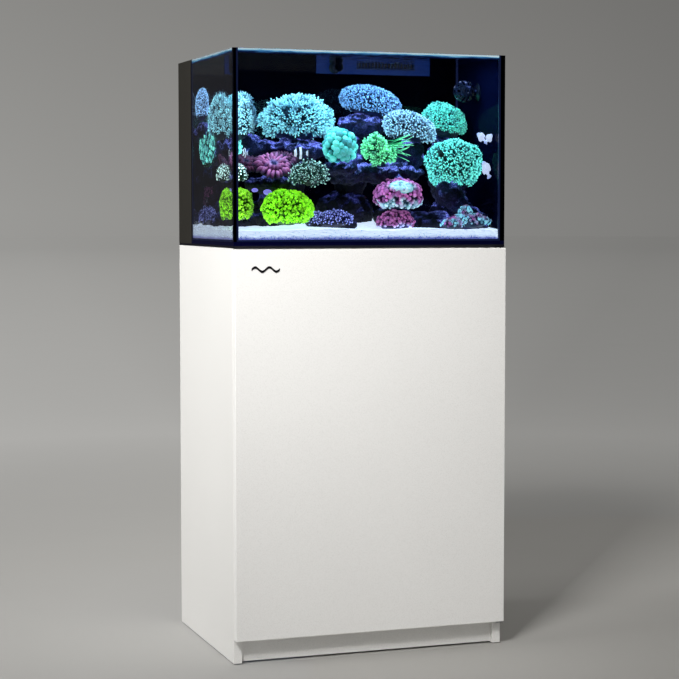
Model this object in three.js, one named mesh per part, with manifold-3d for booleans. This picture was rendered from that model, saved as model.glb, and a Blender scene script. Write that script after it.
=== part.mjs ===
// A small reef aquarium on its cabinet, in millimetres, +Z up.
// The origin is on the floor under the middle of the object, the door faces -Y and +X is to the right.
import * as THREE from 'three';
import { mergeVertices } from 'three/addons/utils/BufferGeometryUtils.js';
import Module from 'manifold-3d';

const wasm = await Module();
wasm.setup();

// ---------------------------------------------------------------- driving dimensions
const overallWidth = 600;
const overallDepth = 450;
const cabinetHeight = 860;
const tankHeight = 400;

const panel = 18;             // carcass boards
const backBoard = 16;
const doorThickness = 18;
const doorGap = 2;            // behind the door, and above it
const plinthHeight = 52;      // floor to the underside of the bottom board
const plinthRecess = 10;
const plinthClearance = 2;    // under the kick board
const shelfSetback = 40;
const shelfHeight = 440;      // floor to the underside of the shelf
const cableHoleRadius = 30;
const cableHoleOffset = 170;  // from the middle of the back board
const cableHoleDrop = 90;     // below the underside of the top board
const glideHeight = 2;
const glideRadius = 7.5;
const glideInset = 20;

const badgeWidth = 60;
const badgeHeight = 14;
const badgeProud = 1;
const badgeStroke = 5;
const badgeInset = 35;        // from the door's opening edge
const badgeDrop = 34;         // from the door's top edge

const pivotInset = 6;         // pin axis, from the door's outer edge
const pivotDepth = 6.5;       // pin axis, from the door's front face
const pinRadius = 2;
const pinLength = 10;
const runningGap = 0.3;       // between pieces that turn or slide in each other
const sleeveWall = 1.7;
const leafThickness = 1.5;
const leafGap = 0.25;         // above and below a pivot leaf
const leafTail = 45;          // part of a leaf that is let into the side board

const latchDrop = 142;        // latch axis below the underside of the top board
const latchLength = 56;
const latchWidth = 16;
const latchDepth = 20;
const plungerRadius = 4.5;
const plungerLength = 40;
const plungerTravel = 3;
const strikeRadius = 8;
const strikeThickness = 1.5;

const matThickness = 5;
const glass = 8;
const tankSetback = 9;        // front glass behind the door's face
const bead = 4;               // silicone in the corners
const chamberDepth = 93;      // clear space behind the chamber wall
const wallSheet = 6;
const dividerSheet = 4;
const wallDrop = 3;           // chamber wall below the rim
const underflow = 20;
const overflowDrop = 40;
const leftDividerX = -170;
const rightDividerX = 38;

const weirLeft = -41;
const weirWidth = 265;
const weirHeight = 29;        // plate, measured down from the rim
const weirSheet = 3;
const combLeft = 52;
const combWidth = 136;
const combHeight = 18;
const combTeeth = 17;
const combSlot = 4;

const nozzleX = 0;
const nozzleDrop = 16;        // nozzle axis below the rim
const ballRadius = 9;
const outletRadius = 5;
const nozzleReach = 14;       // ball centre, in front of the weir plate
const flangeRadius = 13;

const pumpX = -70;
const pumpWidth = 64;
const pumpDepth = 56;
const pumpHeight = 60;
const rotorRadius = 16;
const rotorWidth = 18;
const hoseRadius = 8;
const hoseWall = 2;

const basketX = 120;
const basketWidth = 120;
const basketHeight = 350;
const basketWall = 3;
const basketFloor = 24;       // floor of the basket above the tank's bottom
const basketClearance = 4;
const spongeHeight = 190;

const waveY = -40;
const waveDrop = 70;          // pump axis below the rim
const cupRadius = 20;
const cupThickness = 6;
const hubRadius = 8;
const hubThickness = 6;
const waveOffset = 40;        // pump axis from the side glass
const motorRadius = 13;
const motorLength = 38;
const cageRadius = 24;
const cageWall = 2;
const cageSlots = 10;
const propRadius = 16;

const sandFront = 24;
const sandBack = 57;

// ---------------------------------------------------------------- derived places
const halfWidth = overallWidth / 2;
const frontY = -overallDepth / 2;
const backY = overallDepth / 2;
const doorFaceY = frontY + badgeProud;
const doorBackY = doorFaceY + doorThickness;
const carcassY = doorBackY + doorGap;
const innerX = halfWidth - panel;
const backBoardY = backY - backBoard;
const floorTopZ = plinthHeight + panel;
const ceilingZ = cabinetHeight - panel;
const doorTopZ = cabinetHeight - doorGap;

const tankFrontY = doorFaceY + tankSetback;
const tankZ = cabinetHeight + matThickness;
const tankFloorZ = tankZ + glass;
const rimZ = tankZ + tankHeight;
const glassX = halfWidth - glass;
const innerFrontY = tankFrontY + glass;
const innerBackY = backY - glass;
const chamberFrontY = innerBackY - chamberDepth;
const wallFrontY = chamberFrontY - wallSheet;
const chamberMiddleY = (chamberFrontY + innerBackY) / 2;
const weirFrontY = wallFrontY - weirSheet;
const nozzleZ = rimZ - nozzleDrop;
const ballY = weirFrontY - nozzleReach;
const waveZ = rimZ - waveDrop;

// ---------------------------------------------------------------- helpers
const object = new THREE.Group();

function solid(geometry) {
  geometry.deleteAttribute('normal');
  geometry.deleteAttribute('uv');
  const merged = mergeVertices(geometry, 1e-4);
  return new wasm.Manifold(new wasm.Mesh({
    numProp: 3,
    vertProperties: Float32Array.from(merged.attributes.position.array),
    triVerts: Uint32Array.from(merged.index.array),
  }));
}

function box([x0, x1], [y0, y1], [z0, z1]) {
  const geometry = new THREE.BoxGeometry(x1 - x0, y1 - y0, z1 - z0);
  geometry.translate((x0 + x1) / 2, (y0 + y1) / 2, (z0 + z1) / 2);
  return solid(geometry);
}

// A cylinder along 'x', 'y' or 'z' from one place on that axis to another.
function rod(axis, radius, from, to, [x, y, z], sides = 16) {
  const geometry = new THREE.CylinderGeometry(radius, radius, to - from, sides);
  geometry.translate(0, (from + to) / 2, 0);
  if (axis === 'x') geometry.rotateZ(-Math.PI / 2);
  if (axis === 'z') geometry.rotateX(Math.PI / 2);
  geometry.translate(x, y, z);
  return solid(geometry);
}

// A profile of [radius, height] points, turned about the 'x' or '-y' axis through a point.
// The profile runs up its outer side, so that its faces point out.
function turned(axis, profile, [x, y, z], sides = 16) {
  const points = profile.map(([radius, height]) => new THREE.Vector2(radius, height));
  if (THREE.ShapeUtils.area(points) < 0) points.reverse();
  const geometry = new THREE.LatheGeometry(points, sides);
  if (axis === 'x') geometry.rotateZ(-Math.PI / 2);
  if (axis === '-y') geometry.rotateX(Math.PI);
  geometry.translate(x, y, z);
  return solid(geometry);
}

// Points on a circle about the turning axis, from one angle to another, measured from the axis.
function arc(radius, fromDegrees, toDegrees, steps) {
  return Array.from({ length: steps + 1 }, (_, i) => {
    const angle = THREE.MathUtils.degToRad(fromDegrees + (toDegrees - fromDegrees) * i / steps);
    return [radius * Math.sin(angle), radius * Math.cos(angle)];
  });
}

function dome([x, y, z], [rx, ry, rz], grow = 0, around = 14, up = 7) {
  const geometry = new THREE.SphereGeometry(1, around, up);
  geometry.rotateX(Math.PI / 2);
  geometry.scale(rx + grow, ry + grow, rz + grow);
  geometry.translate(x, y, z);
  return solid(geometry);
}

function joined(pieces) {
  return pieces.reduce((sum, piece) => sum.add(piece));
}

function cut(body, tools) {
  return tools.reduce((rest, tool) => rest.subtract(tool), body);
}

function place(name, body, color, roughness, metalness = 0) {
  const { numProp, vertProperties, triVerts } = body.getMesh();
  const positions = new Float32Array(vertProperties.length / numProp * 3);
  for (let i = 0; i < positions.length / 3; i += 1) {
    positions.set(vertProperties.subarray(i * numProp, i * numProp + 3), i * 3);
  }
  const geometry = new THREE.BufferGeometry();
  geometry.setAttribute('position', new THREE.BufferAttribute(positions, 3));
  geometry.setIndex(new THREE.BufferAttribute(Uint32Array.from(triVerts), 1));
  const mesh = new THREE.Mesh(geometry, new THREE.MeshStandardMaterial({ color, roughness, metalness }));
  mesh.name = name;
  object.add(mesh);
}

const board = 0xecebe8;
const blackPlastic = 0x17181a;
const steel = 0xb8babd;
const glassTint = 0x9fb4b0;
const acrylic = 0x15151c;

// ---------------------------------------------------------------- cabinet
const pivotX = halfWidth - pivotInset;
const pivotY = doorFaceY + pivotDepth;
const topLeafZ = [doorTopZ + leafGap, doorTopZ + leafGap + leafThickness];
const bottomLeafZ = [plinthHeight - leafGap - leafThickness, plinthHeight - leafGap];
const leafX = [innerX + 2, halfWidth - 1];
const leafY = [doorFaceY + 1, carcassY + leafTail];
const leafSlots = [
  box(leafX, [carcassY - 1, leafY[1]], [topLeafZ[0], cabinetHeight + 1]),
  box(leafX, [carcassY - 1, leafY[1]], bottomLeafZ),
];

const carcassZ = [glideHeight, cabinetHeight];
place('side_panel_left', box([-halfWidth, -innerX], [carcassY, backY], carcassZ), board, 0.45);
const rightBoard = box([innerX, halfWidth], [carcassY, backY], carcassZ);
place('side_panel_right', cut(rightBoard, leafSlots), board, 0.45);
place('top_panel', box([-innerX, innerX], [carcassY, backY], [ceilingZ, cabinetHeight]), board, 0.45);
place('bottom_panel', box([-innerX, innerX], [carcassY, backY], [plinthHeight, floorTopZ]), board, 0.45);

const shelfZ = [shelfHeight, shelfHeight + panel];
place('shelf', box([-innerX, innerX], [carcassY + shelfSetback, backBoardY], shelfZ), board, 0.45);

const kickY = carcassY + plinthRecess;
const kickZ = [glideHeight + plinthClearance, plinthHeight];
place('kick_board', box([-innerX, innerX], [kickY, kickY + panel], kickZ), board, 0.45);

const cableHoleZ = ceilingZ - cableHoleDrop;
const cableHoles = [-1, 1].map((side) => (
  rod('y', cableHoleRadius, backBoardY - 1, backY + 1, [side * cableHoleOffset, 0, cableHoleZ], 32)
));
const plainBack = box([-innerX, innerX], [backBoardY, backY], [floorTopZ, ceilingZ]);
place('back_panel', cut(plainBack, cableHoles), board, 0.5);

for (const [sideName, side] of [['left', -1], ['right', 1]]) {
  for (const [endName, y] of [['front', carcassY + glideInset], ['back', backY - glideInset]]) {
    const centre = [side * (halfWidth - panel / 2), y, 0];
    place(`glide_${endName}_${sideName}`, rod('z', glideRadius, 0, glideHeight, centre), blackPlastic, 0.6);
  }
}

// ---------------------------------------------------------------- door, badge and pivots
const sleeveRadius = pinRadius + runningGap + sleeveWall;
const sleeveLength = pinLength + runningGap;
const pivotAt = [pivotX, pivotY, 0];
const latchAxisZ = ceilingZ - latchDrop;
const strikeAt = [-innerX + latchWidth / 2, 0, latchAxisZ];

// A sleeve stands in a blind hole from the door's end, and the leaf's pin runs in it.
function pivot(name, endZ, inward, leafZ) {
  const span = (a, b) => [Math.min(a, b), Math.max(a, b)];
  const hole = span(endZ - inward, endZ + inward * (sleeveLength + runningGap));
  const sleeve = span(endZ, endZ + inward * sleeveLength);
  const pin = span(leafZ[0], endZ + inward * (pinLength - leafGap));
  const pinFromLeaf = inward < 0 ? span(endZ - pinLength + leafGap, leafZ[1]) : pin;
  const sleeveBody = rod('z', sleeveRadius, ...sleeve, pivotAt);
  const boreBody = rod('z', pinRadius + runningGap, sleeve[0] - 1, sleeve[1] + 1, pivotAt);
  place(`pivot_sleeve_${name}`, sleeveBody.subtract(boreBody), 0xd8d6cf, 0.5);
  const leaf = box(leafX, leafY, leafZ).add(rod('z', pinRadius, ...pinFromLeaf, pivotAt, 20));
  place(`pivot_leaf_${name}`, leaf, steel, 0.35, 0.9);
  return rod('z', sleeveRadius + runningGap, ...hole, pivotAt);
}

const doorHoles = [
  pivot('top', doorTopZ, -1, topLeafZ),
  pivot('bottom', plinthHeight, 1, bottomLeafZ),
  rod('y', strikeRadius + runningGap, doorBackY - strikeThickness, doorBackY + 1, strikeAt),
];
const doorBody = box([-halfWidth, halfWidth], [doorFaceY, doorBackY], [plinthHeight, doorTopZ]);
place('door', cut(doorBody, doorHoles), 0xf1f0ee, 0.4);
place('strike_plate', rod('y', strikeRadius, doorBackY - strikeThickness, doorBackY, strikeAt), steel, 0.3, 0.9);

// The badge is one plain wave standing on the door's face.
function badge() {
  const steps = 20;
  const left = -halfWidth + badgeInset;
  const middleZ = doorTopZ - badgeDrop - badgeHeight / 2;
  const swing = (badgeHeight - badgeStroke) / 2;
  const height = (i) => middleZ + swing * Math.sin(2 * 2 * Math.PI * i / steps);
  const outline = new THREE.Shape();
  for (let i = 0; i <= steps; i += 1) {
    outline.lineTo(left + badgeWidth * i / steps, height(i) + badgeStroke / 2);
  }
  for (let i = steps; i >= 0; i -= 1) {
    outline.lineTo(left + badgeWidth * i / steps, height(i) - badgeStroke / 2);
  }
  outline.curves.shift();
  const geometry = new THREE.ExtrudeGeometry(outline, { depth: badgeProud, bevelEnabled: false });
  geometry.rotateX(Math.PI / 2);
  geometry.translate(0, doorFaceY, 0);
  return solid(geometry);
}
place('badge', badge(), 0x101012, 0.3);

// ---------------------------------------------------------------- push latch
const latchX = [-innerX, -innerX + latchWidth];
const latchZ = [latchAxisZ - latchDepth / 2, latchAxisZ + latchDepth / 2];
const plungerY = [doorBackY + runningGap, doorBackY + runningGap + plungerLength];
const latchBore = rod('y', plungerRadius + runningGap, carcassY, plungerY[1] + plungerTravel + 1, strikeAt);
const latchBody = box(latchX, [carcassY + 2, carcassY + 2 + latchLength], latchZ);
place('latch_housing', latchBody.subtract(latchBore), 0xc9c9c7, 0.5);
place('latch_plunger', rod('y', plungerRadius, ...plungerY, strikeAt), 0x8c8d8f, 0.45);

// ---------------------------------------------------------------- tank
const tankX = [-halfWidth, halfWidth];
const wallZ = [tankFloorZ, rimZ];
place('levelling_mat', box(tankX, [tankFrontY, backY], [cabinetHeight, tankZ]), 0x1a1a1b, 0.9);
place('bottom_glass', box(tankX, [tankFrontY, backY], [tankZ, tankFloorZ]), glassTint, 0.05);
place('front_glass', box(tankX, [tankFrontY, innerFrontY], wallZ), glassTint, 0.05);
place('back_glass', box(tankX, [innerBackY, backY], wallZ), glassTint, 0.05);
place('left_glass', box([-halfWidth, -glassX], [innerFrontY, innerBackY], wallZ), glassTint, 0.05);
place('right_glass', box([glassX, halfWidth], [innerFrontY, innerBackY], wallZ), glassTint, 0.05);

// Silicone runs up the four corners of the display and round its floor.
function siliconeSeams() {
  const display = [[-glassX, glassX], [innerFrontY, wallFrontY]];
  const outer = box(...display, wallZ);
  const narrow = [display[0][0] + bead, display[0][1] - bead];
  const shallow = [display[1][0] + bead, display[1][1] - bead];
  const above = [tankFloorZ + bead, rimZ + 1];
  const through = [tankFloorZ - 1, rimZ + 1];
  return cut(outer, [
    box(narrow, shallow, through),
    box(narrow, [display[1][0] - 1, display[1][1] + 1], above),
    box([display[0][0] - 1, display[0][1] + 1], shallow, above),
  ]);
}
place('silicone_seams', siliconeSeams(), 0x0c0c0e, 0.5);

// ---------------------------------------------------------------- filter chambers
const combX = [combLeft, combLeft + combWidth];
const combZ = [rimZ - combHeight, rimZ];
const notchX = [combX[0] - runningGap, combX[1] + runningGap];
const nozzleAt = [nozzleX, 0, nozzleZ];
const pipeHole = rod('y', outletRadius + hoseWall + runningGap, weirFrontY - 1, chamberFrontY + 1, nozzleAt);

const chamberWall = box([-glassX, glassX], [wallFrontY, chamberFrontY], [tankFloorZ, rimZ - wallDrop]);
const wallNotch = box(notchX, [wallFrontY - 1, chamberFrontY + 1], [combZ[0], rimZ]);
place('chamber_wall', cut(chamberWall, [wallNotch, pipeHole]), acrylic, 0.2);

const dividerY = [chamberFrontY, innerBackY];
place('chamber_divider_left',
  box([leftDividerX, leftDividerX + dividerSheet], dividerY, [tankFloorZ, rimZ - overflowDrop]), acrylic, 0.2);
place('chamber_divider_right',
  box([rightDividerX - dividerSheet, rightDividerX], dividerY, [tankFloorZ + underflow, rimZ - wallDrop]),
  acrylic, 0.2);

const weirPlate = box([weirLeft, weirLeft + weirWidth], [weirFrontY, wallFrontY], [rimZ - weirHeight, rimZ]);
const plateNotch = box(notchX, [weirFrontY - 1, wallFrontY + 1], [combZ[0], rimZ + 1]);
place('weir_plate', cut(weirPlate, [plateNotch, pipeHole]), 0x1c2150, 0.25);

function weirComb() {
  const plate = box(combX, [weirFrontY, wallFrontY], combZ);
  const pitch = combWidth / (combTeeth + 1);
  const slots = Array.from({ length: combTeeth }, (_, i) => {
    const x = combX[0] + pitch * (i + 1);
    const slotX = [x - combSlot / 2, x + combSlot / 2];
    return box(slotX, [weirFrontY - 1, wallFrontY + 1], [combZ[0] + 4, rimZ - 4]);
  });
  return cut(plate, slots);
}
place('weir_comb', weirComb(), 0x14183c, 0.3);

const basketX2 = [basketX - basketWidth / 2, basketX + basketWidth / 2];
const basketY2 = [chamberFrontY + basketClearance, innerBackY - basketClearance];
const basketZ2 = [tankFloorZ, tankFloorZ + basketHeight];
const inset = ([from, to], by) => [from + by, to - by];

function mediaBasket() {
  const floorZ = tankFloorZ + basketFloor;
  const inner = [inset(basketX2, basketWall), inset(basketY2, basketWall)];
  const tools = [
    box(...inner, [floorZ, basketZ2[1] + 1]),
    box(...inner, [tankFloorZ - 1, floorZ - basketWall]),
    box([basketX2[0] - 1, basketX2[1] + 1], inset(basketY2, basketWall * 4), [tankFloorZ - 1, floorZ - 8]),
    box(inset(basketX2, basketWall * 4), [basketY2[0] - 1, basketY2[1] + 1], [tankFloorZ - 1, floorZ - 8]),
  ];
  const floorSlots = 6;
  const pitch = basketWidth / (floorSlots + 1);
  for (let i = 1; i <= floorSlots; i += 1) {
    const x = basketX2[0] + pitch * i;
    tools.push(box([x - 3, x + 3], inset(basketY2, basketWall * 4), [tankFloorZ, floorZ + 1]));
  }
  return cut(box(basketX2, basketY2, basketZ2), tools);
}
place('media_basket', mediaBasket(), 0x202124, 0.4);

const spongeZ = [tankFloorZ + basketFloor, tankFloorZ + basketFloor + spongeHeight];
place('filter_sponge', box(inset(basketX2, basketWall + 1), inset(basketY2, basketWall + 1), spongeZ), 0x2b4a7c, 1);

// ---------------------------------------------------------------- return pump, hose and nozzle
const pumpFrontY = chamberMiddleY - pumpDepth / 2;
const pumpZ = tankFloorZ + pumpHeight / 2;
const pumpAt = [pumpX, 0, pumpZ];
const portTopZ = tankFloorZ + pumpHeight + 14;

function pumpHousing() {
  const shell = box(
    [pumpX - pumpWidth / 2, pumpX + pumpWidth / 2],
    [pumpFrontY, pumpFrontY + pumpDepth],
    [tankFloorZ, tankFloorZ + pumpHeight],
  );
  const port = rod('z', hoseRadius, tankFloorZ + pumpHeight - 1, portTopZ, [pumpX, chamberMiddleY, 0]);
  const volute = rod('y', rotorRadius + 3, pumpFrontY + 4, pumpFrontY + 6 + rotorWidth + 4, pumpAt, 28);
  const intake = rod('y', rotorRadius - 4, pumpFrontY - 1, pumpFrontY + 5, pumpAt);
  const outlet = rod('z', hoseRadius - hoseWall, pumpZ, portTopZ + 1, [pumpX, pumpFrontY + 16, 0]);
  const outletTop = rod('z', hoseRadius - hoseWall, portTopZ - 10, portTopZ + 1, [pumpX, chamberMiddleY, 0]);
  return cut(shell.add(port), [volute, intake, outlet.intersect(shell), outletTop]);
}
place('pump_housing', pumpHousing(), blackPlastic, 0.4);

function pumpRotor() {
  const rotorY = [pumpFrontY + 7, pumpFrontY + 7 + rotorWidth];
  const hub = rod('y', 5, ...rotorY, pumpAt);
  const disc = rod('y', rotorRadius, rotorY[1] - 4, rotorY[1], pumpAt);
  const vanes = Array.from({ length: 3 }, (_, i) => {
    const vane = new THREE.BoxGeometry(rotorRadius * 2 - 2, rotorWidth - 2, 2);
    vane.rotateY(Math.PI * i / 3);
    vane.translate(pumpX, rotorY[0] + rotorWidth / 2, pumpZ);
    return solid(vane);
  });
  return joined([hub, disc, ...vanes]);
}
place('pump_rotor', pumpRotor(), 0xd9d9d6, 0.4);

// The hose climbs from the pump's port and bends forward to the pipe through the wall.
function returnHose() {
  const pipeEndY = chamberFrontY + 14 + runningGap;
  const route = new THREE.CatmullRomCurve3([
    new THREE.Vector3(pumpX, chamberMiddleY, portTopZ + runningGap),
    new THREE.Vector3(pumpX, chamberMiddleY, portTopZ + 60),
    new THREE.Vector3(pumpX + 8, chamberMiddleY + 6, nozzleZ - 110),
    new THREE.Vector3(nozzleX - 24, chamberMiddleY + 16, nozzleZ - 30),
    new THREE.Vector3(nozzleX, pipeEndY + 24, nozzleZ),
    new THREE.Vector3(nozzleX, pipeEndY, nozzleZ),
  ], false, 'catmullrom', 0.4);
  const ring = new THREE.Shape();
  ring.absarc(0, 0, hoseRadius, 0, Math.PI * 2);
  const bore = new THREE.Path();
  bore.absarc(0, 0, hoseRadius - hoseWall, 0, Math.PI * 2, true);
  ring.holes.push(bore);
  return solid(new THREE.ExtrudeGeometry(ring, { extrudePath: route, steps: 18, curveSegments: 4 }));
}
place('return_hose', returnHose(), 0x2a2b2d, 0.5);

// The pipe passes through the wall, and its front end is half a socket round the ball.
function returnPipe() {
  const socketRadius = ballRadius + runningGap;
  const pipeRadius = outletRadius + hoseWall;
  const back = -(chamberFrontY + 14 - ballY);
  const face = -(weirFrontY - ballY);
  const innerArc = arc(socketRadius, 146, 92, 4);
  const outerArc = arc(socketRadius + 2, 92, 136, 3);
  const profile = [
    [outletRadius, back],
    ...innerArc,
    ...outerArc,
    [pipeRadius, face + 6],
    [flangeRadius, face + 3],
    [flangeRadius, face],
    [pipeRadius, face],
    [pipeRadius, back],
    [outletRadius, back],
  ];
  return turned('-y', profile, [nozzleX, ballY, nozzleZ]);
}
place('return_pipe', returnPipe(), blackPlastic, 0.35);

function nozzleBall() {
  const bore = Math.asin(outletRadius / ballRadius) * 180 / Math.PI;
  const sphere = arc(ballRadius, 180 - bore, bore, 9);
  return turned('-y', [...sphere, sphere[0]], [nozzleX, ballY, nozzleZ]);
}
place('nozzle_ball', nozzleBall(), 0x222326, 0.3);

// The tip wraps the front of the ball and ends in a round mouth.
function nozzleTip() {
  const cup = arc(ballRadius + runningGap, 60, 36, 4);
  const shoulder = arc(ballRadius + runningGap + 2.2, 60, 44, 3);
  const mouth = [[9.5, 16], [11, 22], [11, 24], [9, 24], [6, 14]];
  const profile = [...cup.slice().reverse(), ...shoulder, ...mouth];
  return turned('-y', [...profile, profile[0]], [nozzleX, ballY, nozzleZ]);
}
place('nozzle_tip', nozzleTip(), 0x1b1c1f, 0.3);

// ---------------------------------------------------------------- wave pump
const waveX = glassX - waveOffset;
const hubX = glassX - cupThickness - runningGap;
const swivelX = glassX - 21;
const cageAt = [waveX, waveY - motorLength / 2 - 4, waveZ];

function suctionCup() {
  const profile = [[0, 0], [cupRadius, 0], [cupRadius, -1.5], [10, -cupThickness], [0, -cupThickness]];
  return turned('x', profile, [glassX, waveY, waveZ]);
}
place('wave_suction_cup', suctionCup(), 0x1c1c1e, 0.7);

const tongue = 6;
const swivelAt = [swivelX, waveY, 0];
const hub = rod('x', hubRadius, hubX - hubThickness, hubX, [0, waveY, waveZ]);
const tongueBody = box([swivelX - 4, hubX - 1], [waveY - 4, waveY + 4], [waveZ - tongue / 2, waveZ + tongue / 2]);
const swivelBore = rod('z', pinRadius + runningGap, waveZ - tongue, waveZ + tongue, swivelAt, 20);
place('wave_bracket', hub.add(tongueBody).subtract(swivelBore), blackPlastic, 0.4);

// Two lugs on the motor hold the tongue, with the pin between them.
function waveHousing() {
  const motor = rod('y', motorRadius, waveY - motorLength / 2, waveY + motorLength / 2, [waveX, 0, waveZ], 28);
  const lugGap = tongue / 2 + runningGap;
  const lugs = [-1, 1].map((side) => {
    const z = [side * lugGap, side * (lugGap + 3)].sort((a, b) => a - b);
    return box([waveX + 6, swivelX + 4], [waveY - 4, waveY + 4], [waveZ + z[0], waveZ + z[1]]);
  });
  const pin = rod('z', pinRadius, waveZ - lugGap - 1, waveZ + lugGap + 1, swivelAt, 20);
  return joined([motor, ...lugs, pin]);
}
place('wave_housing', waveHousing(), 0x1f2022, 0.35);

// A half-round guard with slots between its ribs.
function waveCage() {
  const outer = arc(cageRadius, 12, 104, 5);
  const inner = arc(cageRadius - cageWall, 104, 12, 5);
  const shell = turned('-y', [...outer, ...inner, outer[0]], cageAt, 20);
  const slots = Array.from({ length: cageSlots / 2 }, (_, i) => {
    const slot = new THREE.BoxGeometry(cageRadius * 3, cageRadius * 0.75, 5);
    slot.rotateY(Math.PI * 2 * i / cageSlots);
    slot.translate(cageAt[0], cageAt[1] - cageRadius * 0.42, cageAt[2]);
    return solid(slot);
  });
  const hubRing = box([waveX - 2, waveX + 2], [cageAt[1] - cageRadius + 1, cageAt[1] - cageRadius + 4],
    [waveZ - 10, waveZ + 10]);
  return joined([cut(shell, slots), hubRing]);
}
place('wave_cage', waveCage(), 0x151617, 0.4);

function wavePropeller() {
  const motorFrontY = waveY - motorLength / 2;
  const middleY = motorFrontY - 8;
  const boss = rod('y', 5, middleY - 5, motorFrontY - runningGap, [waveX, 0, waveZ]);
  const blades = Array.from({ length: 3 }, (_, i) => {
    const blade = new THREE.BoxGeometry(propRadius - 2, 1.6, 9);
    blade.rotateX(0.6);
    blade.translate((propRadius + 2) / 2, 0, 0);
    blade.rotateY(Math.PI * 2 * i / 3);
    blade.translate(waveX, middleY, waveZ);
    return solid(blade);
  });
  return joined([boss, ...blades]);
}
place('wave_propeller', wavePropeller(), 0x8f9194, 0.4);

// ---------------------------------------------------------------- sand, rock and corals
const displayX = [-glassX, glassX];
const sandWedge = new THREE.Shape();
sandWedge.moveTo(innerFrontY, tankFloorZ);
sandWedge.lineTo(wallFrontY, tankFloorZ);
sandWedge.lineTo(wallFrontY, tankFloorZ + sandBack);
sandWedge.lineTo(innerFrontY + 90, tankFloorZ + sandFront + 4);
sandWedge.lineTo(innerFrontY, tankFloorZ + sandFront);
const sandGeometry = new THREE.ExtrudeGeometry(sandWedge, { depth: glassX * 2, bevelEnabled: false });
sandGeometry.rotateX(Math.PI / 2);
sandGeometry.rotateZ(Math.PI / 2);
sandGeometry.translate(-glassX, 0, 0);

// Lumps of rock, each a [centre, half sizes] pair, that run together into three stacks.
// Heights here are above the tank's floor.
const rocks = {
  rock_left: [
    [[-158, -10, 52], [72, 66, 44]],
    [[-138, -5, 127], [40, 40, 78]],
    [[-124, -32, 193], [74, 56, 22]],
    [[-196, -85, 119], [52, 48, 16]],
    [[-175, -50, 87], [34, 34, 46]],
    [[-232, 40, 213], [46, 46, 20]],
    [[-190, 20, 187], [44, 36, 26]],
  ],
  rock_centre: [
    [[-2, 20, 57], [66, 62, 52]],
    [[8, 10, 157], [34, 34, 86]],
    [[40, 5, 249], [58, 44, 24]],
    [[66, -55, 145], [98, 40, 22]],
    [[-44, -92, 153], [36, 36, 14]],
    [[-14, -50, 139], [40, 46, 20]],
    [[78, -95, 51], [46, 44, 24]],
    [[84, -90, 95], [26, 30, 60]],
    [[128, -50, 185], [34, 34, 34]],
  ],
  rock_right: [
    [[232, -35, 52], [54, 66, 40]],
    [[226, -66, 103], [30, 34, 60]],
    [[216, -96, 123], [46, 44, 14]],
    [[222, 8, 157], [32, 34, 78]],
  ],
};

const aboveFloor = ([x, y, height]) => [x, y, tankFloorZ + height];

function lumps(name, grow = 0) {
  return joined(rocks[name].map(([centre, halfSizes]) => dome(aboveFloor(centre), halfSizes, grow, 10, 6)));
}

// Everything that stands in the sand or on the rock keeps this gap to it.
const nestGap = 0.3;
const bedded = (body) => cut(body, Object.keys(rocks).map((name) => lumps(name, nestGap)));
const silicone = siliconeSeams();
place('sand_bed', bedded(solid(sandGeometry).subtract(silicone)), 0xe9e7ef, 1);
for (const name of Object.keys(rocks)) {
  const inTank = box(displayX, [innerFrontY, wallFrontY], [tankFloorZ + nestGap, rimZ]);
  place(name, lumps(name).intersect(inTank), 0x2a2348, 0.95);
}

// name: centre, half sizes, colour. A later coral gives way to the ones before it.
const corals = {
  bush_coral: [[-122, -35, 249], [80, 66, 54], 0x5fc4c4],
  bubble_coral: [[-46, -115, 198], [37, 34, 37], 0x57d8b0],
  blue_dome_coral: [[54, 5, 299], [73, 62, 36], 0x5c86c8],
  blue_plate_coral: [[125, -65, 240], [60, 50, 32], 0x86b4dc],
  teal_dome_coral: [[222, -5, 258], [52, 48, 39], 0x3fc49a],
  green_dome_coral: [[213, -118, 163], [65, 56, 54], 0x46d29a],
  torch_coral: [[52, -108, 187], [38, 30, 31], 0x4fe05c],
  flower_coral: [[-192, -115, 157], [46, 42, 30], 0x8c3450],
  branch_coral: [[-122, -145, 134], [40, 34, 26], 0x86c8b8],
  lime_coral: [[-169, -138, 68], [58, 48, 37], 0xa0e020],
  chalice_coral: [[82, -128, 97], [56, 48, 33], 0xb04478],
};

let grownSoFar = null;
for (const [name, [centre, halfSizes, color]] of Object.entries(corals)) {
  let body = bedded(dome(aboveFloor(centre), halfSizes)).subtract(solid(sandGeometry.clone()));
  if (grownSoFar) body = body.subtract(grownSoFar);
  const [largest] = body.decompose().sort((a, b) => b.volume() - a.volume());
  place(name, largest, color, 0.8);
  const grown = dome(aboveFloor(centre), halfSizes, nestGap);
  grownSoFar = grownSoFar ? grownSoFar.add(grown) : grown;
}

export default object;
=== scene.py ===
import math
import random

import bpy
from mathutils import Matrix, Vector, noise


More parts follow.
